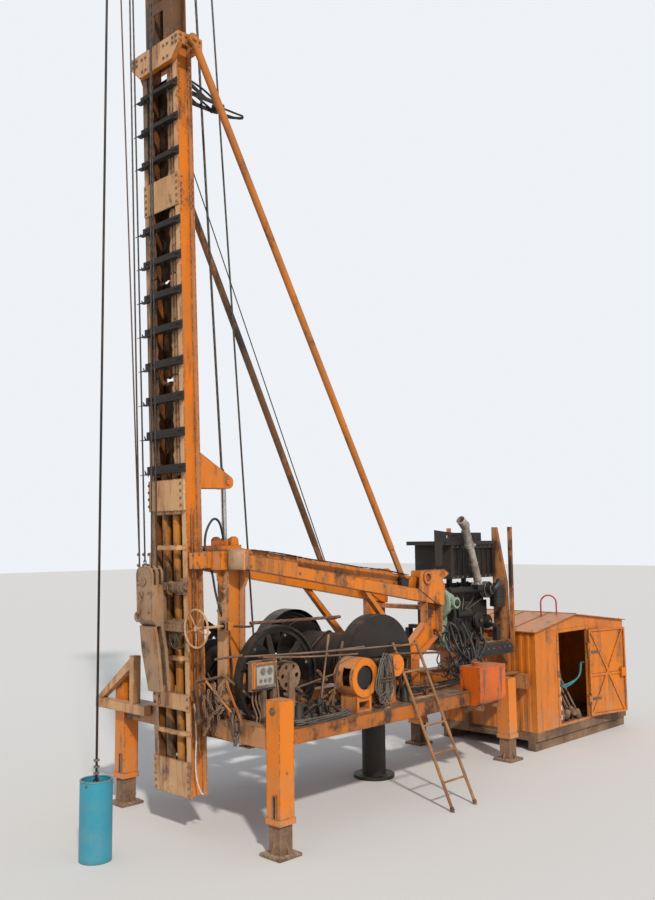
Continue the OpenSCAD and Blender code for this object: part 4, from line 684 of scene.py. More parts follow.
def mast_strips():
    """Worn plates inside the chords' front edges, pale with painted light on the left chord and dark with
    grease and painted shade on the right one.
    """
    # Torn edge, whole edge, way from the whole edge to the torn one
    for name, torn_v, whole_v, way, mat in (("mast_strip_left", 0.115, 0.2105, -1, "strip"),
                                            ("mast_strip_right", -0.150, -0.2405, 1, "upper")):
        b = Build()
        for low, high in ((3.30, 4.37), (4.385, 5.47), (5.485, 6.19), (6.57, 7.76)):
            rows = round((high - low) / 0.045)
            torn = [pick(-0.010, 0.010) * (1 + (RND.random() > 0.85)) for i in range(rows + 1)]
            edge = [(torn_v + torn[i], low + (high - low) * i / rows) for i in range(rows + 1)]
            if way < 0:
                corners = [(whole_v, low), (whole_v, high)] + edge[::-1]
            else:
                corners = edge + [(whole_v, high), (whole_v, low)]
            b.plate(corners, on_mast(-0.022, 0, 0), LEFT, MAST_UP, 0.008)
            middle_v = (min(torn_v, whole_v) + max(torn_v, whole_v)) / 2 - way * 0.02
            b.bolts([on_mast(-0.014, middle_v, low + 0.30 * k) for k in range(1, round((high - low) / 0.30))],
                    MAST_FORE, 0.009)
        # A narrow angle iron down the strip's middle
        seam, steps = torn_v - way * 0.045, 12
        for low, high in ((3.32, 6.17), (6.59, 7.74)):
            for i in range(steps):
                w0, w1 = low + (high - low) * i / steps, low + (high - low) * (i + 1) / steps
                b.box((on_mast(-0.012, seam, w0) + on_mast(-0.012, seam, w1)) / 2,
                      (0.010, 0.009, w1 - w0 + 0.001), MAST_AXES)
        b.done(name, "mast", mat)


# Ropes
GROOVE, HOIST_R = 0.217, 0.011
FRONT_SHEAVE, REAR_SHEAVE = middle("head_sheave_front"), middle("head_sheave_rear")


def line(name, start, end, r, body, mat="rope", steps=24):
    """A taut straight line."""
    b = Build()
    b.tube(straight(start, end, steps), r, 10)
    return b.done(name, body, mat)


def crossing(name, top, low, r):
    """A taut line from the mast to the chassis, fixed in place and tied to neither."""
    obj = line(name, top, low, r, None, "rope", 40)
    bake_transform(obj)


def hoist_rope():
    """Over both head sheaves, then down behind the mast to the front winch."""
    b = Build()
    over = arc(FRONT_SHEAVE, FORE, UP, GROOVE, 0, 90) + arc(REAR_SHEAVE, FORE, UP, GROOVE, 90, 176)
    b.tube(over, HOIST_R, 10)
    b.done("hoist_rope_head", "mast", "rope")
    crossing("hoist_rope", over[-1], middle("winch_front") + V(-0.225, 0.15, 0.06), HOIST_R)


def block_ropes():
    """Lines to the travelling block: two in its slots, two and a rusty one at its right side."""
    bars, shackles = Build(), Build()
    seat_z = REAR_SHEAVE.z - 0.16
    for x in (0.70, 0.86, 1.00):
        bars.rod(P(x, -0.33, seat_z), P(x, 0.06, seat_z), 0.018, 12)
    bars.box(P(0.85, -0.33, seat_z), (0.40, 0.016, 0.09))
    bars.done("head_rope_bars", "mast", "dirty")
    # Name, place on the head's bars, end on the mast, look and radius
    for name, (x, y), (u, v, w), mat, r in (
            ("block_rope_left", (0.70, 0.0), (0.223, 0.0, 2.20), "rope", 0.009),
            ("block_rope_middle", (0.70, -0.03), (0.158, 0.0, 2.20), "rope", 0.009),
            ("side_rope_front", (0.86, -0.25), (0.205, -0.245, 2.30), "rope", 0.009),
            ("side_rope_rear", (0.86, -0.21), (0.135, -0.245, 2.40), "rope", 0.009),
            ("rusty_rope", (1.00, -0.30), (0.19, -0.262, 2.22), "red_rope", 0.008)):
        top, end = P(x, y, seat_z), on_mast(u, v, w)
        line(name, top, end, r, "mast", mat, 30)
        shackles.ring(top, FORE, 0.024, 0.008, 18, 6)
        if v:
            shackles.ring(end, MAST_FORE, 0.022, 0.006, 18, 6)
            eye = end - 0.03 * MAST_UP
            shackles.rod(eye + 0.045 * LEFT, eye - 0.012 * LEFT, 0.012, 10)
    shackles.done("rope_shackles", "mast", "steel")


def rear_lines():
    """The thick line to the lift bracket's tip and the guy to the right side beam."""
    line("bracket_line", P(0.24, 0.0, 12.09), P(-0.345, 0.0, 3.80), 0.014, "mast")
    eye = Build()
    eye.ring(P(-0.345, 0.0, 3.785), LEFT, 0.030, 0.009, 20, 8)
    eye.done("bracket_shackle", "mast", "steel")
    crossing("right_guy", on_mast(-0.215, -0.15, 7.62), P(-2.49, -0.47, 2.66), 0.007)


def block_details():
    """The travelling block's hook, eyes and bolts."""
    b = Build()
    front = 0.265
    b.bolts([on_mast(front, v, w) for v, w in ((-0.18, 1.90), (0.01, 1.90), (-0.18, 2.18), (0.01, 2.10))],
            MAST_FORE, 0.017, 0.016)
    # Hook and its bent link on the block's face
    hook = arc(on_mast(front + 0.03, -0.155, 1.84), MAST_UP, -LEFT, 0.045, -20, 250, 18)
    b.tube(hook, [0.014] * 12 + [0.013, 0.012, 0.011, 0.010, 0.009, 0.008, 0.006])
    b.bend([on_mast(front + 0.005, -0.12, 2.05), on_mast(front + 0.03, -0.13, 1.98), hook[0]], 8, 0.011, 10)
    b.ring(on_mast(front + 0.02, -0.12, 2.07), MAST_FORE, 0.026, 0.007, 20, 8)
    # Keeper bars across the slots, and the pin's worn end
    for u in (0.153, 0.218):
        b.rod(on_mast(u - 0.022, 0.02, 2.33), on_mast(u + 0.022, 0.02, 2.33), 0.008, 8)
    b.rod(on_mast(0.10, -0.085, 2.20), on_mast(0.28, -0.085, 2.20), 0.030, 18)
    b.ring(on_mast(0.276, -0.085, 2.20), MAST_FORE, 0.036, 0.006, 24, 6)
    b.done("block_hook", "mast", "brown")
    links = Build()
    for k in range(13):
        c = on_mast(0.215 + 0.006 * sin(k), 0.055 + 0.002 * k, 1.46 - 0.040 * k)
        wide = LEFT if k % 2 else MAST_FORE
        links.tube([c + 0.024 * cos(a) * MAST_UP + 0.013 * sin(a) * wide for a in circle(14)],
                   0.0055, 6, True)
    links.done("block_chain", "mast", "rust")


# Winches: rope on the drums, bolts and plates on their rims
DRUM_R, DRUM_ROPE_R, ROPE_PITCH, ROPE_LAYER = 0.210, 0.012, 0.024, 0.020


def rope_turns(node, half, layers):
    """Rope wound on a drum: a ribbed skin, thicker in the middle."""
    c = middle(node)
    b = Build()
    profile = [(DRUM_R - 0.004, -half)]
    for k in range(int(2 * half / ROPE_PITCH)):
        y = -half + (k + 0.5) * ROPE_PITCH
        grown = DRUM_R + layers * (ROPE_LAYER if abs(y) < 0.8 * half else 0.0)
        for a in (-70, -25, 25, 70):
            profile.append((grown + DRUM_ROPE_R * cos(radians(a)), y + 0.5 * ROPE_PITCH * sin(radians(a))))
    b.revolve(profile + [(DRUM_R - 0.004, half)], c, LEFT, 64)
    # The last turn, loose and crossing the others
    loose_r = DRUM_R + ROPE_LAYER * layers + 0.022
    angles = [2 * pi * k / 48 for k in range(49)]
    b.tube([c + loose_r * spoke(a) + (-0.25 * half + 0.14 * sin(1.5 * a)) * LEFT for a in angles],
           DRUM_ROPE_R, 8)
    b.done(node + "_rope_turns", node, "rope")


def rim_details(node, rim):
    """Bolts and worn triangular plates on the brake rims' spokes."""
    c = middle(node)
    bolts, plates = Build(), Build()
    inner, outer = rim - 0.10, rim - 0.032
    corners = [(inner, -0.075), (outer, -0.105), (outer, 0.105), (inner, 0.075), (0.24, 0.0)]
    for side in SIDES:
        out = side * LEFT
        rays = [spoke(radians(-15 - 60 * k)) for k in range(6)]
        bolts.bolts([c + r * ray + 0.7585 * out for ray in rays for r in (0.15, 0.19, inner)], out, 0.011)
        bolts.bolts([c + 0.085 * spoke(radians(30 * k + 4)) + 0.800 * out for k in range(12)], out, 0.009)
        for ray in rays[1:3]:
            turn = out.cross(ray)
            thick = side * copysign(0.008, out.dot(ray.cross(turn)))
            plates.plate(corners, c + 0.7625 * out, ray, turn, thick)
    bolts.done(node + "_bolts", node, "steel")
    plates.done(node + "_rim_plates", node, "dirty")


def winch_details():
    """The rope on both winches, and their rims' fittings."""
    rope_turns("winch_front", 0.315, 2)
    rope_turns("winch_rear", 0.475, 4)
    rim_details("winch_front", 0.54)
    rim_details("winch_rear", 0.52)


# Frame
BEAM_SLOPE = radians(7.7)
BEAM_END_X = 3.1525
BEAM_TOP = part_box("side_beams")[1][2] - 0.004
# How far the beams' rails, bolted sides and covers lie from the middle line
RAIL_Y, BEAM_SIDE_Y, COVER_Y = 0.437, 0.557, 0.545


def side_beam_point(x, y, down=0.0):
    """A point on a side beam's sloping top, or down from it."""
    return V(x + OX, y + OY, BEAM_TOP - (BEAM_END_X - (x + OX)) * tan(BEAM_SLOPE) - down)


def beam_details():
    """Greasy rails on the long beams' tops and bolts down their outer sides."""
    rail, bolts = Build(), Build()
    along = V(cos(BEAM_SLOPE), 0, sin(BEAM_SLOPE))
    across = V(-along.z, 0, along.x)
    for side in SIDES:
        for x0, x1 in ((-0.25, -0.95), (-1.0, -1.75), (-1.8, -2.25)):
            p, q = side_beam_point(x0, side * RAIL_Y), side_beam_point(x1, side * RAIL_Y)
            for k in range(10):
                rail.box(p.lerp(q, (k + 0.5) / 10) + across * 0.006 + jitter(0.001),
                         ((p - q).length / 10 + 0.002, 0.022, 0.014), (along, LEFT, across))
        for k in range(14):
            x = -0.30 - 0.24 * k
            rows = (0.030,) if k % 3 else (0.030, 0.17)
            bolts.bolts([side_beam_point(x, side * BEAM_SIDE_Y, down) for down in rows], side * LEFT, 0.012)
    rail.done("beam_rails", "chassis", "grease")
    bolts.done("beam_bolts", "chassis", "brown")


def crosshead_details():
    """Bolts on the crosshead's front and nuts on its ears."""
    b = Build()
    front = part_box("crosshead")[1][0] + 0.0002
    b.bolts([(front, y + OY, z) for y in (-0.60, -0.50, -0.40, 0.40, 0.50, 0.60) for z in (2.745, 2.865)],
            FORE, 0.014)
    # Nuts on the ears beside the cylinder
    for y in (-0.115, -0.06, 0.06, 0.115):
        b.rod(P(-0.40, y - 0.006, 3.02), P(-0.40, y + 0.006, 3.02), 0.016, 6)
    b.done("crosshead_bolts", "chassis", "brown")


def front_post_details():
    """Rod ends, brackets and bolts on the front posts, and the handwheel's bearing."""
    b = Build()
    for side in SIDES:
        b.bolts([P(0.0755, side * 0.512 + dy, z)
                 for z in (1.25, 1.32, 2.28, 2.36, 2.60) for dy in (-0.05, 0.05)], FORE, 0.011)
    wheel_z = middle("handwheel").z
    b.rod(P(0.0, 0.545, wheel_z), P(0.075, 0.545, wheel_z), 0.034, 18)
    b.box(P(0.06, 0.545, wheel_z), (0.03, 0.09, 0.11))
    b.rod(P(0.075, 0.53, 2.52), P(0.085, 0.60, 2.54), 0.028, 14)
    b.rod(P(0.02, 0.56, 2.40), P(0.02, 0.56, 2.52), 0.012, 10)
    b.done("front_post_fittings", "chassis", "brown")


def levers():
    """Rusty hand rail, control rods and levers along the left side."""
    rail, rods = Build(), Build()
    rail.rod(P(0.01, 0.90, 2.17), P(-1.30, 0.90, 2.15), 0.017, 12)
    for x in (-0.03, -1.28):
        rail.bend([P(x, 0.90, 2.16), P(x, 0.84, 2.13), P(x, 0.60, 2.12)], 5, 0.012)
    rail.done("hand_rail", "chassis", "red_rope")
    # Long rods that sag a little: side, front end, rear end
    for y, x0, z0, x1, z1 in ((1.00, 0.17, 1.86, -2.20, 1.77), (0.965, -0.05, 1.83, -1.62, 1.80),
                              (1.03, -0.05, 1.835, -1.44, 1.74)):
        path = straight(P(x0, y, z0), P(x1, y, z1), 14)
        rods.tube([p - 0.010 * sin(pi * k / 14) * UP for k, p in enumerate(path)], 0.009, 8)
    # Levers: foot, lean and height
    for x, y, lean, high in ((-0.34, 1.00, 0.10, 1.74), (-0.86, 1.03, -0.12, 1.96),
                             (-1.10, 0.965, -0.16, 1.86)):
        foot, top = P(x, y - 0.03, 1.115), P(x + lean, y, high)
        rods.tube([foot, foot.lerp(top, 0.5) + jitter(0.006), top], 0.010, 8)
        rods.tube([foot.lerp(top, 0.90), top, top + (top - foot).normalized() * 0.03], [0.012, 0.017, 0.012])
        rods.box(foot + 0.012 * UP, (0.09, 0.06, 0.022))
        rods.bolt(foot.lerp(top, 0.78) + 0.012 * LEFT, LEFT, 0.012)
    # Links that hang between the post and the panel's frame
    for k in range(5):
        a = P(-0.02 - 0.045 * k, 0.90, 1.50)
        rods.bend([a, a + V(0.02, 0.02, -0.12), a + V(-0.02, 0.04, -0.26), a + V(0.0, 0.02, -0.38)], 5, 0.008)
    rods.box(P(-0.11, 0.92, 1.505), (0.26, 0.05, 0.025))
    # Long slanted struts from the post
    rods.tube([P(0.16, 0.62, 1.66), P(-0.34, 1.02, 1.14)], 0.013)
    rods.tube([P(0.19, 0.56, 1.80), P(0.12, 0.90, 1.86)], 0.012)
    rods.done("control_rods", "chassis", "brown")


def panel_box():
    """Gauge panel: frame edge, dials and switches."""
    b, face, edge = Build(), Build(), Build()
    x, y, wide = -0.0975, 1.004, 0.277
    for z in (1.5395, 1.7605):
        b.box(P(x, y, z), (wide, 0.012, 0.021))
    for dial_x, z, r in ((-0.16, 1.69, 0.032), (-0.07, 1.69, 0.032), (-0.16, 1.60, 0.020),
                         (-0.10, 1.60, 0.014), (-0.04, 1.60, 0.014)):
        b.ring(P(dial_x, y - 0.001, z), LEFT, r, 0.005, 26, 6)
        b.rod(P(dial_x, y - 0.006, z), P(dial_x, y + 0.001, z), r, 24)
        b.rod(P(dial_x, y, z), P(dial_x, y + 0.006, z), 0.004, 8)
    b.done("panel_dials", "chassis", "steel")
    face.box(P(x, y - 0.006, 1.65), (0.245, 0.006, 0.195))
    face.box(P(x, 0.915, 1.771), (0.26, 0.12, 0.004))
    face.done("panel_face", "chassis", "panel")
    edge.box(P(0.050, y - 0.010, 1.66), (0.028, 0.030, 0.26))
    edge.box(P(x, y + 0.004, 1.775), (0.30, 0.012, 0.018))
    edge.done("panel_edge", "chassis", "beam")


# Coils and hanks that the crew has tied to the frame
def rope_coil():
    """Wire rope laid in a long flat coil on the walkway, tied at three places."""
    b, ties = Build(), Build()
    centre_x, centre_y, r = -0.83, 1.075, 0.0085
    for k in range(9):
        grow, z = 0.012 * (k % 4), 1.123 + 0.019 * (k // 3)
        path = []
        for t in circle(40):
            x = (0.38 + grow) * copysign(abs(cos(t)) ** 0.55, cos(t)) + pick(-0.004, 0.004)
            y = (0.085 + grow) * copysign(abs(sin(t)) ** 0.8, sin(t)) * 0.62
            path.append(P(centre_x + x, centre_y + y, z + 0.012 * sin(3 * t + k) ** 2))
        b.tube(path, r, 8, True)
    b.bend([P(-0.46, 1.10, 1.15), P(-0.34, 1.12, 1.18), P(-0.24, 1.13, 1.15), P(-0.27, 1.14, 1.135),
            P(-0.36, 1.12, 1.14)], 7, r)
    b.done("walkway_rope_coil", "chassis", "pale_rope")
    for x in (-1.12, -0.83, -0.56):
        ties.tube([P(x, centre_y + 0.085 * cos(t), 1.150 + 0.045 * sin(t)) for t in circle(16)],
                  0.004, 6, True)
    ties.done("coil_ties", "chassis", "rust")


def cable_hank():
    """Thick hank of grey slings over the clutch's frame, tied in the middle."""
    b, tie = Build(), Build()
    hank_y = 1.145
    for k in range(14):
        lean = pick(-0.03, 0.03)
        x = -1.68 - 0.012 * k + pick(-0.01, 0.01)
        y = hank_y + pick(-0.025, 0.030)
        low = 1.16 + pick(0.0, 0.12)
        top = 1.70 + pick(-0.03, 0.03)
        wide = pick(0.05, 0.11)
        b.bend([P(x - wide, y, low + 0.10), P(x - 0.6 * wide, y + 0.01, top - 0.12),
                P(x + lean, y + 0.015, top), P(x + 0.6 * wide, y + 0.01, top - 0.12),
                P(x + wide, y, low + 0.10), P(x + lean, y - 0.005, low)], 7, pick(0.007, 0.010), 8, True)
    b.done("sling_hank", "chassis", "pale_rope")
    for z in (1.43, 1.46):
        tie.tube([P(-1.75 + 0.13 * cos(t), hank_y + 0.055 * sin(t), z) for t in circle(20)], 0.006, 6, True)
    tie.box(P(-1.76, 1.10, 1.66), (0.24, 0.05, 0.02))
    tie.done("hank_ties", "chassis", "rust")


# Hoses
def hoses():
    """Hydraulic hoses of the frame, and the thin lines along the mast."""
    b, thin, pipes = Build(), Build(), Build()
    # From the lift cylinder's collar to the crosshead in a loop, and on down the post
    post_top = P(0.07, 0.36, 2.66)
    b.bend([P(-0.30, 0.09, 3.02), P(-0.22, 0.12, 3.20), P(-0.10, 0.16, 3.24), P(0.02, 0.20, 3.12),
            P(0.06, 0.22, 2.96), P(0.08, 0.30, 2.80), post_top], 8, 0.013, 10)
    b.bend([post_top, P(0.04, 0.40, 2.40), P(-0.06, 0.44, 2.05), P(-0.10, 0.47, 1.70),
            P(-0.08, 0.50, 1.40), P(-0.20, 0.60, 1.19)], 8, 0.012, 10)
    # Bundle from the control levers to the engine along the deck
    for k in range(5):
        y, z = 0.60 + 0.026 * k, 1.145 + 0.016 * (k % 2)
        b.bend([P(-0.40 - 0.9 * j, y + 0.02 * sin(1.7 * j + k), z + 0.008 * sin(2.3 * j)) for j in range(5)],
               6, 0.011)
    b.done("hydraulic_hoses", "chassis", "rubber")
    thin.bend([on_mast(-0.045, 0.325, 0.95), on_mast(-0.05, 0.34, 0.62), on_mast(-0.03, 0.345, 0.34),
               on_mast(-0.035, 0.37, 0.16), on_mast(-0.05, 0.41, 0.07), on_mast(-0.06, 0.43, 0.06)], 8, 0.008)
    thin.done("mast_foot_line", "mast", "white")
    for k, v in enumerate((0.328, 0.338)):
        u = -0.028 * k
        path = [on_mast(u + du, v, w) for du, w in ((-0.060, 0.40), (-0.060, 2.20), (-0.062, 2.95))]
        pipes.tube(path, 0.0075, 8)
    for w in (0.55, 1.1, 1.9, 2.6):
        pipes.box(on_mast(-0.075, 0.331, w), (0.075, 0.022, 0.02), MAST_AXES)
    pipes.done("mast_side_lines", "mast", "dirty")


# Engine
BLOCK_X = -4.05
# Centre, height and radius of the two belt pulleys
PULLEYS = ((-4.80, 1.845, 0.107), (-5.01, 1.815, 0.092))
TURBO_X, TURBO_Z = -4.93, 2.28
FILTER_X = -5.115


def engine_details():
    """Covers, studs, pipes, hoses and belts on the engine block."""
    iron, bright, black = Build(), Build(), Build()
    # Cylinder head covers with their studs, the injector lines and the branches' nuts
    for k in range(4):
        x = BLOCK_X - 0.15 - 0.245 * k
        iron.box(P(x, 0.01, 2.345), (0.20, 0.24, 0.045))
        iron.bolt(P(x, 0.01, 2.367), UP, 0.017, 0.016)
        bright.bolts([P(x + dx, 0.155, 2.32) for dx in (-0.11, 0.11)], UP, 0.010)
        bright.bend([P(x, 0.165, 2.30), P(x, 0.22, 2.30), P(x - 0.02, 0.27, 2.18),
                     P(-4.36 - 0.06 * k, 0.285, 2.015)], 7, 0.0045, 6)
        bright.bolts([P(x + 0.015, 0.181, 2.255 + dz) for dz in (-0.05, 0.05)], LEFT, 0.011)
    # Crankcase side: ribs, two inspection covers and their bolts
    for k in range(5):
        iron.box(P(BLOCK_X - 0.10 - 0.20 * k, 0.224, 1.90), (0.022, 0.014, 0.34))
    for k in range(2):
        x, z = BLOCK_X - 0.20 - 0.20 * k, 1.83
        iron.box(P(x, 0.2255, z), (0.13, 0.013, 0.15))
        corners = [P(x + dx, 0.232, z + dz) for dx in (-0.052, 0.052) for dz in (-0.062, 0.062)]
        bright.bolts(corners, LEFT, 0.007)
    # Sump flange
    iron.bolts([P(BLOCK_X - 0.09 - 0.11 * k, 0.2205, 1.735) for k in range(9)], LEFT, 0.008)
    # Turbocharger's rings and the filter's bands
    for y, r in ((0.305, 0.108), (0.345, 0.108), (0.383, 0.108), (0.448, 0.060)):
        bright.ring(P(TURBO_X, y, TURBO_Z), LEFT, r, 0.006, 40, 6)
    for z in (2.06, 2.18, 2.29):
        iron.ring(P(FILTER_X, 0.395, z), UP, 0.107, 0.006, 40, 6)
    # Hose from the turbocharger to the filter
    black.bend([P(TURBO_X, 0.44, TURBO_Z), P(TURBO_X, 0.49, 2.30), P(-5.02, 0.50, 2.38),
                P(FILTER_X, 0.42, 2.385)], 8, 0.040, 14)
    for at in (P(TURBO_X, 0.462, 2.282), P(-5.10, 0.440, 2.385)):
        bright.ring(at, LEFT, 0.042, 0.005, 24, 6)
    # Belt round the two pulleys, in two strands, and the pulleys' hub bolts
    (ax, az, ra), (cx, cz, rc) = PULLEYS
    lean = degrees(atan2(az - cz, ax - cx))
    for y in (0.269, 0.299):
        loop = arc(P(ax, y, az), FORE, UP, ra, lean + 92, lean - 92, 14)
        loop += arc(P(cx, y, cz), FORE, UP, rc, lean - 92, lean - 268, 14)
        black.tube(loop, 0.008, 6, True)
    bright.bolts([P(x, 0.329, z) for x, z, r in PULLEYS], LEFT, 0.016, 0.014)
    iron.done("engine_castings", "chassis", "grease")
    bright.done("engine_fasteners", "chassis", "steel")
    black.done("engine_hoses", "chassis", "rubber")


def hose_tangle():
    """Black hoses and cables in a heap of loops below the engine's front, on the left of the deck."""
    b = Build()
    for k in range(12):
        x0, x1 = -3.50 - 0.10 * (k % 6), -3.98 - 0.12 * (k % 5)
        z0, low = 1.66 + 0.06 * (k % 4), 1.22 + 0.05 * (k % 5)
        y, half_z = 0.64 + 0.030 * (k % 4), 0.5 * z0 + 0.5 * low
        points = [P(x0 - 0.10, 0.44, z0 + 0.05), P(x0 - 0.04, 0.56, z0), P(x0 + 0.05, y, half_z),
                  P((x0 + x1) / 2, y + 0.03, low), P(x1 + 0.05, y, half_z), P(x1, 0.60, z0 - 0.16),
                  P(x1 - 0.16, 0.56, z0 - 0.22), P(x1 - 0.20, 0.44, z0 - 0.10)]
        b.bend([p + jitter(0.05) for p in points], 7, pick(0.008, 0.015))
    for k in range(16):
        at = P(-3.42 - 0.052 * k, 0.70 + 0.03 * (k % 3), 1.34 + 0.05 * sin(1.7 * k)) + jitter(0.03)
        b.ring(at, LEFT + 0.35 * jitter(1.0), pick(0.07, 0.13), pick(0.007, 0.012), 26, 6)
    b.done("engine_hose_tangle", "chassis", "rubber")


def side_box():
    """Black greasy case under the engine's left side, with its flange plate and lid."""
    b, bolts = Build(), Build()
    x0, x1, y0, y1, z0, z1 = -5.02, -3.98, 0.56, 0.70, 1.42, 1.55
    shoulder, bevel = z0 + 0.09, 0.05
    b.plate([(x0, z0), (x1, z0), (x1, shoulder), (x1 - bevel, z1), (x0 + bevel, z1), (x0, shoulder)],
            P(0, y1, 0), FORE, UP, y1 - y0)
    b.box(P((x0 + x1) / 2, (y0 + y1) / 2, z0 - 0.005), (x1 - x0 + 0.05, y1 - y0 + 0.02, 0.014))
    b.box(P(x1 + 0.012, (y0 + y1) / 2, 1.48), (0.016, 0.19, 0.19))
    bolts.bolts([P(x1 + 0.020, y, z) for y in (y0 - 0.01, y1 + 0.01) for z in (1.41, 1.55)], FORE, 0.010)
    bolts.bolts([P(x0 + 0.08 + 0.13 * k, y1, 1.50) for k in range(8)], LEFT, 0.009)
    b.done("side_case", "chassis", "grease")
    bolts.done("side_case_bolts", "chassis", "steel")


def generator_details():
    """The generator's hub, its bolts and the ribs round its case."""
    iron, green = Build(), Build()
    axis_y, axis_z = 0.33, 2.15
    hub = P(-3.90, 0.57, axis_z)
    iron.ring(hub, LEFT, 0.055, 0.010, 30, 8)
    iron.revolve([(0.0, 0.0), (0.050, 0.0), (0.044, 0.022), (0.022, 0.030), (0.0, 0.030)], hub, LEFT, 30)

    def on_rim(x, r, a):
        return P(x, axis_y + r * cos(a), axis_z + r * sin(a))

    for a in circle(8):
        a += 0.2
        green.bolt(on_rim(-3.7495, 0.15, a), FORE, 0.009)
        green.bolt(on_rim(-3.82, 0.212, a), V(0, cos(a), sin(a)), 0.009)
    for a in circle(18):
        green.box(on_rim(-3.845, 0.1885, a), (0.045, 0.010, 0.012),
                  (FORE, V(0, cos(a), sin(a)), V(0, -sin(a), cos(a))))
    iron.done("generator_hub", "chassis", "grease")
    green.done("generator_fasteners", "chassis", "green")


def radiator_details():
    """The radiator's core of fine crossed bars, and its frame's bolts."""
    core, bolts = Build(), Build()
    x0, x1, z0, z1 = -5.155, -4.205, 2.50, 2.87
    wide, high, rows, cols = x1 - x0, z1 - z0, 26, 30
    for side, y in ((1, 0.268), (-1, -0.288)):
        for k in range(rows):
            core.box(P((x0 + x1) / 2, y, z0 + high * (k + 0.5) / rows), (wide, 0.010, 0.006))
        for k in range(cols):
            core.box(P(x0 + wide * (k + 0.5) / cols, y - side * 0.004, (z0 + z1) / 2), (0.005, 0.006, high))
    bolts.bolts([P(-5.18 + 0.11 * k, 0.3105, z) for k in range(10) for z in (2.47, 2.90)], LEFT, 0.008)
    core.done("radiator_core", "chassis", "grease")
    bolts.done("radiator_bolts", "chassis", "brown")


def exhaust_details():
    """Clamps and bolts along the exhaust pipe."""
    b = Build()
    foot_x = -4.65
    foot, neck, mouth = P(foot_x, 0.39, 2.431), P(-4.30, 0.45, 3.19), P(-4.19, 0.46, 3.265)
    way = (neck - foot).normalized()
    for t in (0.30, 0.62, 0.66):
        b.ring(foot.lerp(neck, t), way, 0.060, 0.005, 30, 6)
    clamp = foot.lerp(neck, 0.64)
    b.box(clamp + 0.075 * LEFT, (0.05, 0.03, 0.03))
    b.bolt(clamp + 0.090 * LEFT, LEFT, 0.009, 0.016)
    b.bolts([P(foot_x + dx, y, 2.3705) for dx in (-0.045, 0.045) for y in (0.335, 0.425)], UP, 0.010)
    b.ring(mouth, mouth - neck, 0.062, 0.004, 30, 6)
    b.done("exhaust_clamps", "chassis", "soot")


def tank_details():
    """The tank's straps and the handle on its cap."""
    b = Build()
    low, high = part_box("fuel_tank")
    left = high[1]
    strap = ((0.003, 1.39), (0.003, 1.10), (-0.02, 0.985), (-0.09, 0.938))
    for x in (low[0] + 0.10, high[0] - 0.10):
        b.tube([V(x, left + dy, z) for dy, z in strap], 0.007, 6)
        b.box((x, left + 0.003, 1.30), (0.045, 0.005, 0.17))
        b.bolt((x, left + 0.006, 1.36), LEFT, 0.009)
    cap = V(high[0] - 0.13, (low[1] + left) / 2, high[2] + 0.004)
    handle = ((-0.045, 0), (-0.03, 0.014), (0.03, 0.014), (0.045, 0))
    b.tube([cap + x * FORE + z * UP for x, z in handle], 0.006, 8)
    b.done("tank_straps", "chassis", "brown")


# Cabin
CABIN_X, CABIN_L, CABIN_W = 5.35, 2.64, 1.70
DOOR_X, DOOR_W = -5.99, 0.82
CABIN_FLOOR = 0.26


def roof_sheets():
    """Lap joints, ridge cap and nails on the roof, and the hoop on it."""
    b, hoop = Build(), Build()
    ridge_x = -CABIN_X - 0.42 * CABIN_L
    for x in (-5.37, -7.97):
        b.bolts([P(x, -0.80 + 0.267 * k, 1.688) for k in range(7)], UP, 0.008, 0.006)
    b.rod(P(ridge_x, -0.888, 1.857), P(ridge_x, 0.888, 1.857), 0.012, 10)
    for y in (-0.44, 0.0, 0.44):
        b.tube([P(-5.32, y, 1.683), P(ridge_x, y, 1.866), P(-8.02, y, 1.683)], 0.006, 6)
    b.done("roof_seams", "chassis", "brown")
    c, across, r, drop = P(-6.25, 0.55, 2.02), (0.75 * FORE - LEFT).normalized(), 0.115, 0.24 * UP
    hoop.tube([c - r * across - drop] + arc(c, across, UP, r, 180, 0, 22) + [c + r * across - drop], 0.012, 8)
    hoop.done("roof_hoop", "chassis", "red")


def door_fittings():
    """Hinges, hasp and nails on the frame, and the straps, which turn with the door."""
    b, straps = Build(), Build()
    low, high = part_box("cabin_door")
    wall = CABIN_W / 2
    # The leaf stands open: its plane runs from the hinge outwards
    hinge = P(DOOR_X - DOOR_W, wall + 0.027, 0)
    far_x = low[0] if abs(low[0] - hinge.x) > abs(high[0] - hinge.x) else high[0]
    way = V(far_x - hinge.x, high[1] - hinge.y, 0).normalized()
    out = V(-way.y, way.x, 0)
    for z in (0.55, 1.25):
        at = hinge + z * UP
        b.rod(at - 0.07 * UP, at + 0.07 * UP, 0.013, 12)
        straps.box(at + 0.13 * way, (0.24, 0.004, 0.035), (way, out, UP))
    # Hasp and padlock on the frame's other side
    b.box(P(DOOR_X + 0.03, wall + 0.010, 1.02), (0.05, 0.010, 0.09))
    b.ring(P(DOOR_X + 0.03, wall + 0.020, 1.00), FORE, 0.020, 0.004, 20, 6)
    jambs = (DOOR_X + 0.028, DOOR_X - DOOR_W - 0.028)
    b.bolts([P(x, wall + 0.006, z) for z in (0.40, 0.70, 1.30, 1.50) for x in jambs], LEFT, 0.008)
    b.done("door_frame_fittings", "chassis", "brown")
    straps.done("door_straps", "cabin_door", "brown")


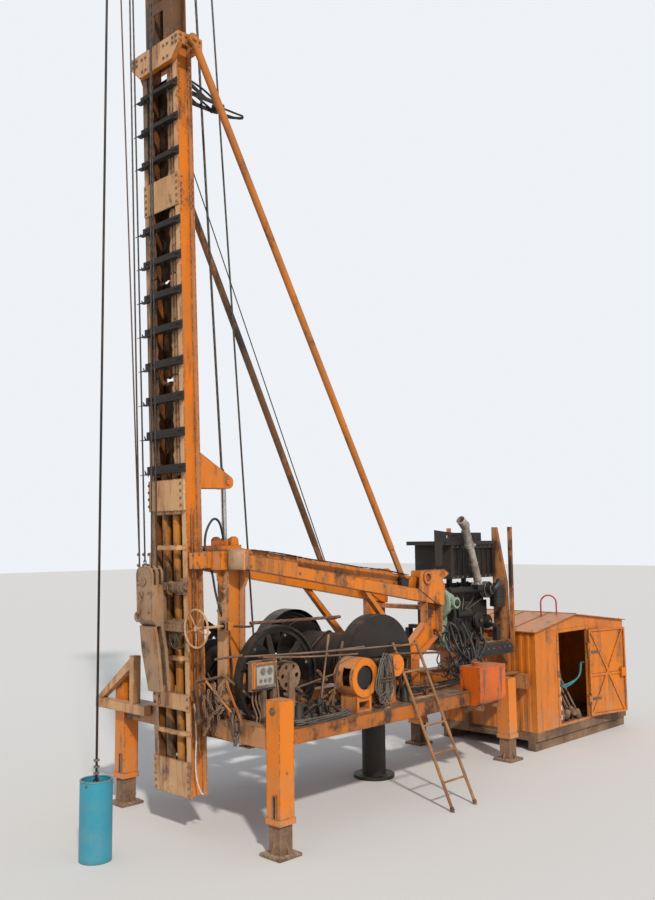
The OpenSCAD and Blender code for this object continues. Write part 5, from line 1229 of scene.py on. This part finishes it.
def cabin_inside():
    """Shelf with tins, a hose on its hook, poles and wood, and a striped stick."""
    shelf, hose, wood, stick, pale = Build(), Build(), Build(), Build(), Build()
    board = 1.033
    for z in (1.02, 0.66):
        shelf.box(P(-6.6, -0.55, z), (1.6, 0.42, 0.025))
    for x in (-7.35, -6.6, -5.85):
        for y in (-0.36, -0.74):
            shelf.box(P(x, y, CABIN_FLOOR + 0.40), (0.035, 0.035, 0.78))
    for k, x in enumerate((-7.1, -6.9, -6.45, -6.25, -6.0)):
        r, h = 0.055 + 0.012 * (k % 3), 0.16 + 0.03 * (k % 2)
        shelf.revolve([(0.0, 0.0), (r, 0.0), (r, h), (0.8 * r, h + 0.01), (0.0, h + 0.01)],
                      P(x, -0.52, board), UP, 24)
        shelf.ring(P(x, -0.52, board + h), UP, r, 0.005, 24, 6)
    shelf.done("cabin_shelf", "chassis", "brown")
    hook = P(-6.66, 0.83, 1.12)
    for k in range(2):
        hose.bend([hook + jitter(0.01), P(-6.62, 0.80, 0.90), P(-6.30 + 0.03 * k, 0.76, 0.78 + 0.03 * k),
                   P(-6.12, 0.78, 0.86), P(-6.02, 0.80, 1.02 + 0.02 * k)], 9, 0.013)
    hose.rod(hook, hook + 0.05 * LEFT, 0.010, 8)
    hose.done("cabin_hose", "chassis", "teal")
    for k in range(7):
        a = P(-6.78 + 0.07 * k, 0.70 - 0.04 * (k % 3), CABIN_FLOOR + 0.02)
        wood.rod(a, a + V(0.05, -0.50, 0.95 + 0.05 * (k % 3)), 0.018, 8)
    for k in range(9):
        at = P(-6.70 + 0.08 * k, 0.72 - 0.05 * (k % 2), CABIN_FLOOR + 0.07 + 0.03 * (k % 3))
        wood.revolve([(0.0, -0.06), (0.045, -0.06), (0.050, 0.0), (0.038, 0.07), (0.0, 0.08)], at,
                     UP + 0.4 * jitter(1.0), 14)
    wood.done("cabin_poles", "chassis", "brown")
    low, high = P(-6.10, 0.80, CABIN_FLOOR + 0.01), P(-6.22, 0.70, 1.18)
    for k in range(7):
        stick.rod(low.lerp(high, k / 7 + 0.001), low.lerp(high, (k + 0.5) / 7), 0.0165)
    stick.done("striped_stick_red", "chassis", "red")
    pale.rod(low - 0.004 * UP, high + 0.004 * UP, 0.0150)
    pale.done("striped_stick", "chassis", "white")


# Head, hammer, outrigger, ladder and legs
def head_details():
    """Pins of the head's sheaves and bars, and the sheaves' own trim."""
    b = Build()
    for c in (FRONT_SHEAVE, REAR_SHEAVE):
        for side in SIDES:
            at, cap = c + side * 0.085 * LEFT, side * 0.012 * LEFT
            b.rod(at, at + cap, 0.045, 20)
            b.bolt(at + cap, side * LEFT, 0.018, 0.016)
    z = FRONT_SHEAVE.z - 0.22
    for x in (0.28, 0.55, 0.80):
        b.rod(P(x, 0.031, z), P(x, 0.181, z), 0.013, 10)
    b.done("head_pins", "mast", "brown")
    for node, c in (("head_sheave_front", FRONT_SHEAVE), ("head_sheave_rear", REAR_SHEAVE)):
        trim = Build()
        for side in SIDES:
            places = [c + 0.075 * spoke(a) + side * 0.0445 * LEFT for a in circle(6)]
            trim.bolts(places, side * LEFT, 0.009, 0.0022)
            trim.ring(c + side * 0.0440 * LEFT, LEFT, 0.17, 0.0022, 48, 6)
        trim.done(node + "_trim", node, "brown")


def hammer_details():
    """The rim of the hammer's mouth, and the rope's socket in it."""
    rim, s = Build(), Build()
    c, top = middle("drop_hammer"), 0.74
    rim.revolve([(0.137, -0.006), (0.155, -0.006), (0.157, 0.000), (0.155, 0.008), (0.137, 0.008)],
                V(c.x, c.y, top), UP, 48)
    rim.done("hammer_rim", "chassis", "cyan")
    seat, lift = V(c.x, c.y, top - 0.12), 0.045 * UP
    s.tube(arc(seat + lift, FORE, UP, 0.050, 0, 180), 0.013)
    for side in SIDES:
        foot = seat + side * 0.050 * FORE
        s.tube([foot, foot + lift], 0.013)
    for a in (0.4, 2.5, 4.5):
        pin = [V(c.x + r * cos(a), c.y + r * sin(a), top - 0.03) for r in (0.138, 0.163)]
        s.rod(*pin, 0.012, 10)
    for z in (0.80, 0.86, 0.92):
        s.box((c.x, c.y, z), (0.050, 0.030, 0.022))
        s.bolt((c.x + 0.012, c.y + 0.015, z), LEFT, 0.007)
    s.done("hammer_socket", "chassis", "steel")


def outrigger_details():
    """Bent bars, roller and bolts of the rope outrigger behind the mast."""
    b = Build()
    tip = on_mast(-0.80, 0.0, 7.61)
    far = tip - 0.34 * FORE + 0.01 * UP
    for side in SIDES:
        out = side * LEFT
        path = curve([on_mast(-0.22, side * 0.085, 7.80), on_mast(-0.55, side * 0.085, 7.72),
                      tip + 0.07 * out, tip - 0.16 * FORE + 0.055 * out, far + 0.045 * out], 8)
        b.tube(path + arc(far, out, -1 * FORE, 0.045, 0, 90, 8), 0.012, 8)
    b.bend([tip - 0.03 * UP, tip - 0.16 * FORE - 0.05 * UP, far - 0.05 * FORE], 8, 0.016)
    b.revolve([(0.03, -0.018), (0.060, -0.022), (0.050, 0.0), (0.060, 0.022), (0.03, 0.018)], tip, LEFT, 30)
    for side in SIDES:
        b.bolt(tip + side * 0.096 * LEFT, side * LEFT, 0.018, 0.014)
        b.bolts([on_mast(u, side * 0.0965, w) for u, w in ((-0.30, 7.63), (-0.42, 7.63), (-0.30, 7.76))],
                side * LEFT, 0.011)
    b.done("outrigger_fittings", "mast", "grease")


LADDER_X, LADDER_FOOT_Y = -2.45, 1.69
LADDER_LEAN = (1.168 - LADDER_FOOT_Y) / 1.112


def on_ladder(dx, z):
    """A point on the leaning ladder, dx beside its middle line."""
    return P(LADDER_X + dx, LADDER_FOOT_Y + z * LADDER_LEAN, z)


def ladder_details():
    """Collars where the rungs meet the rails, and the ladder's feet."""
    b = Build()
    for i in range(1, 7):
        for side in SIDES:
            b.ring(on_ladder(side * 0.205, 0.29 * i), FORE, 0.017, 0.005, 16, 6)
    for side in SIDES:
        b.tube([on_ladder(side * 0.21, z) for z in (0.013, 0.05)], 0.0235, 12)
    b.done("ladder_joints", "chassis", "rust")


LEG_Y, SLEEVE_HALF = 1.325, 0.095


def leg_details():
    """Pins and eyes on the front leg sleeves."""
    b = Build()
    for y in (LEG_Y, -LEG_Y):
        for side in SIDES:
            b.rod(P(side * (SLEEVE_HALF - 0.002), y, 1.36), P(side * (SLEEVE_HALF + 0.018), y, 1.36), 0.020)
            b.ring(P(side * (SLEEVE_HALF + 0.004), y, 1.36), FORE, 0.034, 0.006, 22, 6)
        b.rod(P(0, y + SLEEVE_HALF - 0.002, 0.78), P(0, y + SLEEVE_HALF + 0.010, 0.78), 0.012, 10)
    b.done("leg_pins", "chassis", "brown")


def leg_slots():
    """Long slots low on the front faces of the legs' sleeves."""
    dark, rim = Build(), Build()
    low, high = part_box("leg_sleeves")
    face, z0, z1 = high[0], low[2] + 0.07, low[2] + 0.27
    for side in SIDES:
        y = side * LEG_Y + OY + 0.030
        dark.box((face + 0.0005, y, (z0 + z1) / 2), (0.003, 0.030, z1 - z0))
        for dy in (-0.019, 0.019):
            rim.box((face + 0.003, y + dy, (z0 + z1) / 2), (0.010, 0.008, z1 - z0 + 0.02))
        rim.box((face + 0.003, y, z1 + 0.006), (0.010, 0.046, 0.008))
    dark.done("leg_slot_shadow", "chassis", "grease")
    rim.done("leg_slot_rims", "chassis", "brown")


# Rusty odds and ends hung and laid on the rig
DECK_Z = 1.112
LINK_WIRE, LINK_LONG = 0.006, 0.042


def chain(b, points):
    """Links along a line, each turned a quarter round from the last."""
    path = curve(points, 10)
    walked, last, k = 0.0, path[0], 0
    for p in path[1:]:
        walked += (p - last).length
        if walked >= LINK_LONG * 0.78:
            way = (p - last).normalized()
            side = way.cross(LEFT if abs(way.dot(LEFT)) < 0.8 else UP).normalized()
            if k % 2:
                side = way.cross(side)
            b.tube([p + LINK_LONG * (0.5 * cos(a) * way + 0.28 * sin(a) * side) for a in circle(10)],
                   LINK_WIRE, 6, True)
            walked, k = 0.0, k + 1
        last = p


def mast_foot_scrap():
    """Chains, hooks, rods and old slings gathered between the mast and the left front post."""
    rods, links, pale, flats = Build(), Build(), Build(), Build()
    for k in range(9):
        top = P(0.10 + 0.035 * k, 0.42 + 0.035 * (k % 4), 1.56 - 0.03 * (k % 3))
        foot = top + V(pick(-0.16, 0.14), pick(-0.02, 0.14), -pick(0.30, 0.46))
        rods.rod(top, foot, pick(0.008, 0.015), 8)
    for a, c, r in ((P(-0.02, 0.36, 1.22), P(0.46, 0.62, 1.22), 0.022),
                    (P(-0.05, 0.44, 1.60), P(0.44, 0.56, 1.60), 0.016),
                    (P(0.44, 0.56, 1.60), P(0.40, 0.58, 1.22), 0.014)):
        rods.rod(a, c, r, 12)
    for k in range(5):
        x, dy = 0.06 + 0.08 * k, 0.02 * (k % 2)
        rods.box(P(x, 0.52 + dy, 1.25), (0.035, 0.055, 0.075))
        rods.bolt(P(x, 0.55 + dy, 1.25), LEFT, 0.012)
    for corners, top, foot in (
            ([(0.0, -0.022), (0.60, -0.022), (0.62, 0.0), (0.60, 0.022), (0.0, 0.022)],
             P(0.11, 0.60, 1.64), P(0.20, 1.02, 1.18)),
            ([(0.0, -0.018), (0.52, -0.018), (0.52, 0.018), (0.0, 0.018)],
             P(0.30, 0.52, 1.62), P(0.08, 0.80, 1.20))):
        flats.plate(corners, top, foot - top, UP, 0.012)
    flats.done("mast_foot_flats", "chassis", "beam")
    rods.rod(P(0.34, 0.46, 1.45), P(-0.26, 0.88, 1.14), 0.014, 10)
    for k in range(6):
        a = P(0.09 + 0.06 * k, 0.60 + 0.03 * (k % 2), 1.58 - 0.04 * (k % 3)) + jitter(0.02)
        drop = pick(0.22, 0.46)
        chain(links, [a, a + V(0.02, 0.03, -0.3 * drop) + jitter(0.02),
                      a + V(-0.02, 0.05, -0.7 * drop) + jitter(0.02), a + V(0.03, 0.04, -drop)])
    chain(links, [P(0.10, 0.60, 1.20), P(0.05, 0.66, 1.09), P(-0.02, 0.70, 1.04), P(-0.10, 0.70, 1.09),
                  P(-0.16, 0.68, 1.17)])
    for k in range(5):
        a = P(0.10 + 0.025 * k, 0.72 + 0.03 * k, 1.30) + jitter(0.02)
        pale.bend([a, a + V(0.03, 0.04, -0.10), a + V(0.02, 0.06, -0.22 - 0.02 * k),
                   a + V(-0.05, 0.06, -0.18), a + V(-0.07, 0.03, -0.02)], 8, 0.009)
    rods.done("mast_foot_rods", "chassis", "rust")
    links.done("mast_foot_chains", "chassis", "brown")
    pale.done("mast_foot_slings", "chassis", "pale_rope")


def mast_hook_row():
    """Small hooks and a chain on the right of the mast's lower front."""
    b = Build()
    for k in range(5):
        at = on_mast(0.012, -0.27, 1.12 + 0.10 * k)
        b.bend([at, at + V(0.03, 0.0, -0.01), at + V(0.035, 0.0, -0.05), at + V(0.01, 0.0, -0.065)],
               6, 0.006, 6)
    top = on_mast(0.03, -0.26, 1.66)
    chain(b, [top, top + V(0.02, -0.02, -0.16), top + V(0.0, 0.01, -0.34), top + V(0.01, 0.0, -0.52)])
    b.done("mast_hooks", "mast", "brown")


def deck_litter():
    """Bars, offcuts and mud left on the walkways and between the long beams."""
    bars, mud = Build(), Build()
    for k in range(14):
        a = P(-0.55 - 0.19 * k, (0.72 if k % 2 else 0.80) + 0.02 * (k % 3), 1.124 + 0.008 * (k % 2))
        bars.rod(a, a + V(pick(-0.42, -0.18), pick(-0.10, 0.14), pick(0.0, 0.03)), pick(0.006, 0.012), 8)
    for k in range(10):
        a = P(-0.45 - 0.27 * k, -0.95 + 0.05 * (k % 3), 1.124)
        bars.rod(a, a + V(pick(-0.40, -0.20), pick(-0.05, 0.08), 0.0), pick(0.006, 0.011), 8)
    for k in range(22):
        side = 1 if k % 3 else -1
        at = P(pick(-3.1, -0.3), side * pick(0.70, 1.08), DECK_Z)
        r = pick(0.03, 0.08)
        mud.revolve([(0.0, 0.30 * r), (0.55 * r, 0.24 * r), (0.9 * r, 0.08 * r), (r, -0.004), (0.0, -0.004)],
                    at, UP, 9)
    bars.done("deck_bars", "chassis", "rust")
    mud.done("deck_mud", "chassis", "brown")


def foot_mud():
    """Mud caked round the bases of the legs."""
    for node in LEG_FEET:
        b = Build()
        low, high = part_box(node)
        c, long, wide = middle(node), high[0] - low[0], high[1] - low[1]
        for a in circle(14):
            s = 0.44 * 0.92 / max(abs(cos(a)), abs(sin(a)))
            at = V(c.x + long * s * cos(a), c.y + wide * s * sin(a), low[2] + 0.022)
            r = pick(0.020, 0.040)
            b.revolve([(0.0, 0.55 * r), (0.5 * r, 0.45 * r), (0.9 * r, 0.12 * r), (r, -0.005), (0.0, -0.005)],
                      at, UP, 9)
        b.done(node + "_mud", node, "mud")


# Castings, covers and linkage on the frame
def crosshead_lumps():
    """Rounded pale castings over the crosshead's corners."""
    b = Build()
    for side in SIDES:
        b.revolve([(0.0, 0.0), (0.096, 0.0), (0.108, 0.012), (0.114, 0.060), (0.112, 0.160), (0.102, 0.193),
                   (0.078, 0.213), (0.0, 0.220)], P(-0.088, side * 0.592, 2.699), UP, 30)
    b.done("crosshead_castings", "chassis", "block")


def beam_covers():
    """Blackened cover strips that lie on the long beams' tops, a little bent."""
    b = Build()
    steps = 9
    for side in SIDES:
        for x0, x1, rise in ((-0.32, -1.12, 0.010), (-1.14, -1.98, 0.004), (-2.00, -2.90, 0.012)):
            path = [side_beam_point(x0 + (x1 - x0) * k / steps, side * COVER_Y) for k in range(steps + 1)]
            for k, (p, q) in enumerate(zip(path, path[1:])):
                lift = 0.008 + rise * sin(pi * (k + 0.5) / steps)
                way = (q - p).normalized()
                b.box((p + q) / 2 + lift * UP, ((q - p).length + 0.004, 0.075, 0.006),
                      (way, LEFT, way.cross(LEFT)))
    b.done("beam_covers", "chassis", "grease")


def spring(b, a, c, radius, wire, turns):
    """A coil spring between two points."""
    _, u, v = about(c - a)
    per_turn = 12
    steps = turns * per_turn
    angles = [2 * pi * k / per_turn for k in range(steps + 1)]
    b.tube([a.lerp(c, k / steps) + radius * (cos(t) * u + sin(t) * v) for k, t in enumerate(angles)], wire, 6)


def deck_linkage():
    """Brackets, cranks, rods and springs of the old controls, beside the drums."""
    rusty, black = Build(), Build()
    y = 0.905
    for x, top, lean in ((-0.68, 1.44, 0.03), (-0.98, 1.52, -0.04), (-1.17, 1.36, 0.02), (-2.34, 1.48, 0.05),
                         (-2.80, 1.40, -0.03)):
        foot, head = P(x, y, DECK_Z - 0.001), P(x + lean, y, top)
        rusty.box(foot.lerp(head, 0.5), (0.045, 0.016, head.z - foot.z), (FORE, LEFT, head - foot))
        pin_x, pin_z = x + lean, top - 0.02
        rusty.rod(P(pin_x, y - 0.03, pin_z), P(pin_x, y + 0.045, pin_z), 0.016, 12)
        rusty.bolt(P(pin_x, y + 0.045, pin_z), LEFT, 0.013)
        arm = P(pin_x, y + 0.03, pin_z)
        reach = V(0.11, 0.0, 0.10 if top > 1.42 else -0.11)
        end = arm + reach
        rusty.box((arm + end) / 2, (reach.length + 0.03, 0.014, 0.032), (reach, LEFT, reach.cross(LEFT)))
        rusty.rod(end - 0.02 * LEFT, end + 0.03 * LEFT, 0.011, 10)
    for a, c, r in (((-0.60, 0.93, 1.46), (-1.22, 0.93, 1.55), 0.010),
                    ((-0.57, 0.90, 1.31), (-1.19, 0.90, 1.25), 0.013),
                    ((-0.72, 0.96, 1.22), (-1.20, 0.94, 1.40), 0.009),
                    ((-2.18, 0.93, 1.50), (-3.02, 0.93, 1.34), 0.011),
                    ((-2.20, 0.90, 1.66), (-3.05, 0.90, 1.60), 0.014),
                    ((-2.30, 0.96, 1.26), (-2.95, 0.94, 1.22), 0.010)):
        rusty.rod(P(*a), P(*c), r, 10)
        for end_x, end_y, end_z in (a, c):
            rusty.box(P(end_x, end_y, end_z), (0.045, 0.030, 0.030))
            rusty.bolt(P(end_x, end_y + 0.015, end_z), LEFT, 0.009)
    spring(rusty, P(-0.74, 0.94, 1.27), P(-1.04, 0.94, 1.33), 0.020, 0.004, 9)
    spring(rusty, P(-2.42, 0.95, 1.30), P(-2.70, 0.95, 1.26), 0.020, 0.004, 9)
    # Oil pots and valves, black with grease
    for x, h, r in ((-0.56, 0.17, 0.050), (-0.69, 0.11, 0.040), (-0.86, 0.20, 0.042), (-2.28, 0.15, 0.050)):
        black.revolve([(0.0, 0.0), (1.2 * r, 0.0), (1.2 * r, 0.012), (r, 0.016), (r, h), (0.75 * r, h + 0.02),
                       (0.3 * r, h + 0.025), (0.3 * r, h + 0.045), (0.0, h + 0.045)],
                      P(x, 1.00, DECK_Z), UP, 22)
        black.bend([P(x, 1.00, DECK_Z + h + 0.03), P(x - 0.04, 1.00, DECK_Z + h + 0.10),
                    P(x - 0.16, 0.97, 1.18 + h), P(x - 0.24, 0.90, 1.135)], 7, 0.008)
    for k in range(5):
        x = -0.52 - 0.10 * k
        black.bend([P(x, 1.02, 1.20), P(x - 0.10, 1.05, 1.28) + jitter(0.05),
                    P(x - 0.22, 1.03, 1.16) + jitter(0.03), P(x - 0.34, 1.00, 1.128)], 7, pick(0.007, 0.012))
    rusty.done("deck_linkage", "chassis", "rust")
    black.done("deck_oil_pots", "chassis", "grease")


# Stage
FLOOR_HALF, FLOOR_DROP = 90, 0.002


def stage():
    """Floor, sky and sun."""
    mesh = bpy.data.meshes.new("floor")
    s = FLOOR_HALF
    mesh.from_pydata([(-s, -s, 0), (s, -s, 0), (s, s, 0), (-s, s, 0)], [], [(0, 1, 2, 3)])
    floor = place_object("floor", mesh)
    floor.location = (0, 0, -FLOOR_DROP)
    mat = bpy.data.materials.new("floor")
    mat.use_nodes = True
    look = mat.node_tree.nodes["Principled BSDF"]
    look.inputs["Base Color"].default_value = (0.72, 0.70, 0.67, 1)
    look.inputs["Roughness"].default_value = 0.9
    mesh.materials.append(mat)
    world = bpy.data.worlds.new("world")
    world.use_nodes = True
    bpy.context.scene.world = world
    t = world.node_tree
    light, back = t.nodes["Background"], t.nodes.new("ShaderNodeBackground")
    for node, color, strength in ((light, (0.80, 0.86, 0.95, 1), 0.55),
                                  (back, (0.86, 0.89, 0.93, 1), 1.0)):
        node.inputs["Color"].default_value = color
        node.inputs["Strength"].default_value = strength
    # The pale background shows to the camera, in glossy surfaces and through glass
    ray = t.nodes.new("ShaderNodeLightPath")
    seen = ray.outputs["Is Camera Ray"]
    for kind in ("Is Glossy Ray", "Is Transmission Ray"):
        either = t.nodes.new("ShaderNodeMath")
        either.operation = "MAXIMUM"
        t.links.new(seen, either.inputs[0])
        t.links.new(ray.outputs[kind], either.inputs[1])
        seen = either.outputs[0]
    mix = t.nodes.new("ShaderNodeMixShader")
    for k, source in enumerate((seen, light.outputs[0], back.outputs[0])):
        t.links.new(source, mix.inputs[k])
    t.links.new(mix.outputs[0], t.nodes["World Output"].inputs["Surface"])
    sun = bpy.data.lights.new("sun", "SUN")
    sun.energy = 2.6
    sun.angle = radians(3)
    sun.color = (1.0, 0.96, 0.90)
    lamp = place_object("sun", sun)
    lamp.rotation_mode = "QUATERNION"
    lamp.rotation_quaternion = V(-0.42, -0.72, -0.62).to_track_quat("-Z", "Y")


# The order of these calls sets the order of the random draws
for add_details in (
        mast_bolts, rung_tips, rung_grease, mast_clamps, mast_linings, mast_strips,
        hoist_rope, block_ropes, rear_lines, block_details, winch_details,
        beam_details, crosshead_details, front_post_details, levers, panel_box,
        rope_coil, cable_hank, hoses,
        engine_details, hose_tangle, side_box, generator_details, radiator_details, exhaust_details,
        tank_details,
        roof_sheets, door_fittings, cabin_inside,
        head_details, hammer_details, outrigger_details, ladder_details, leg_details,
        mast_foot_scrap, mast_hook_row, deck_litter, foot_mud,
        crosshead_lumps, beam_covers, deck_linkage, leg_slots, stage):
    add_details()
bpy.context.scene.view_settings.view_transform = "Standard"
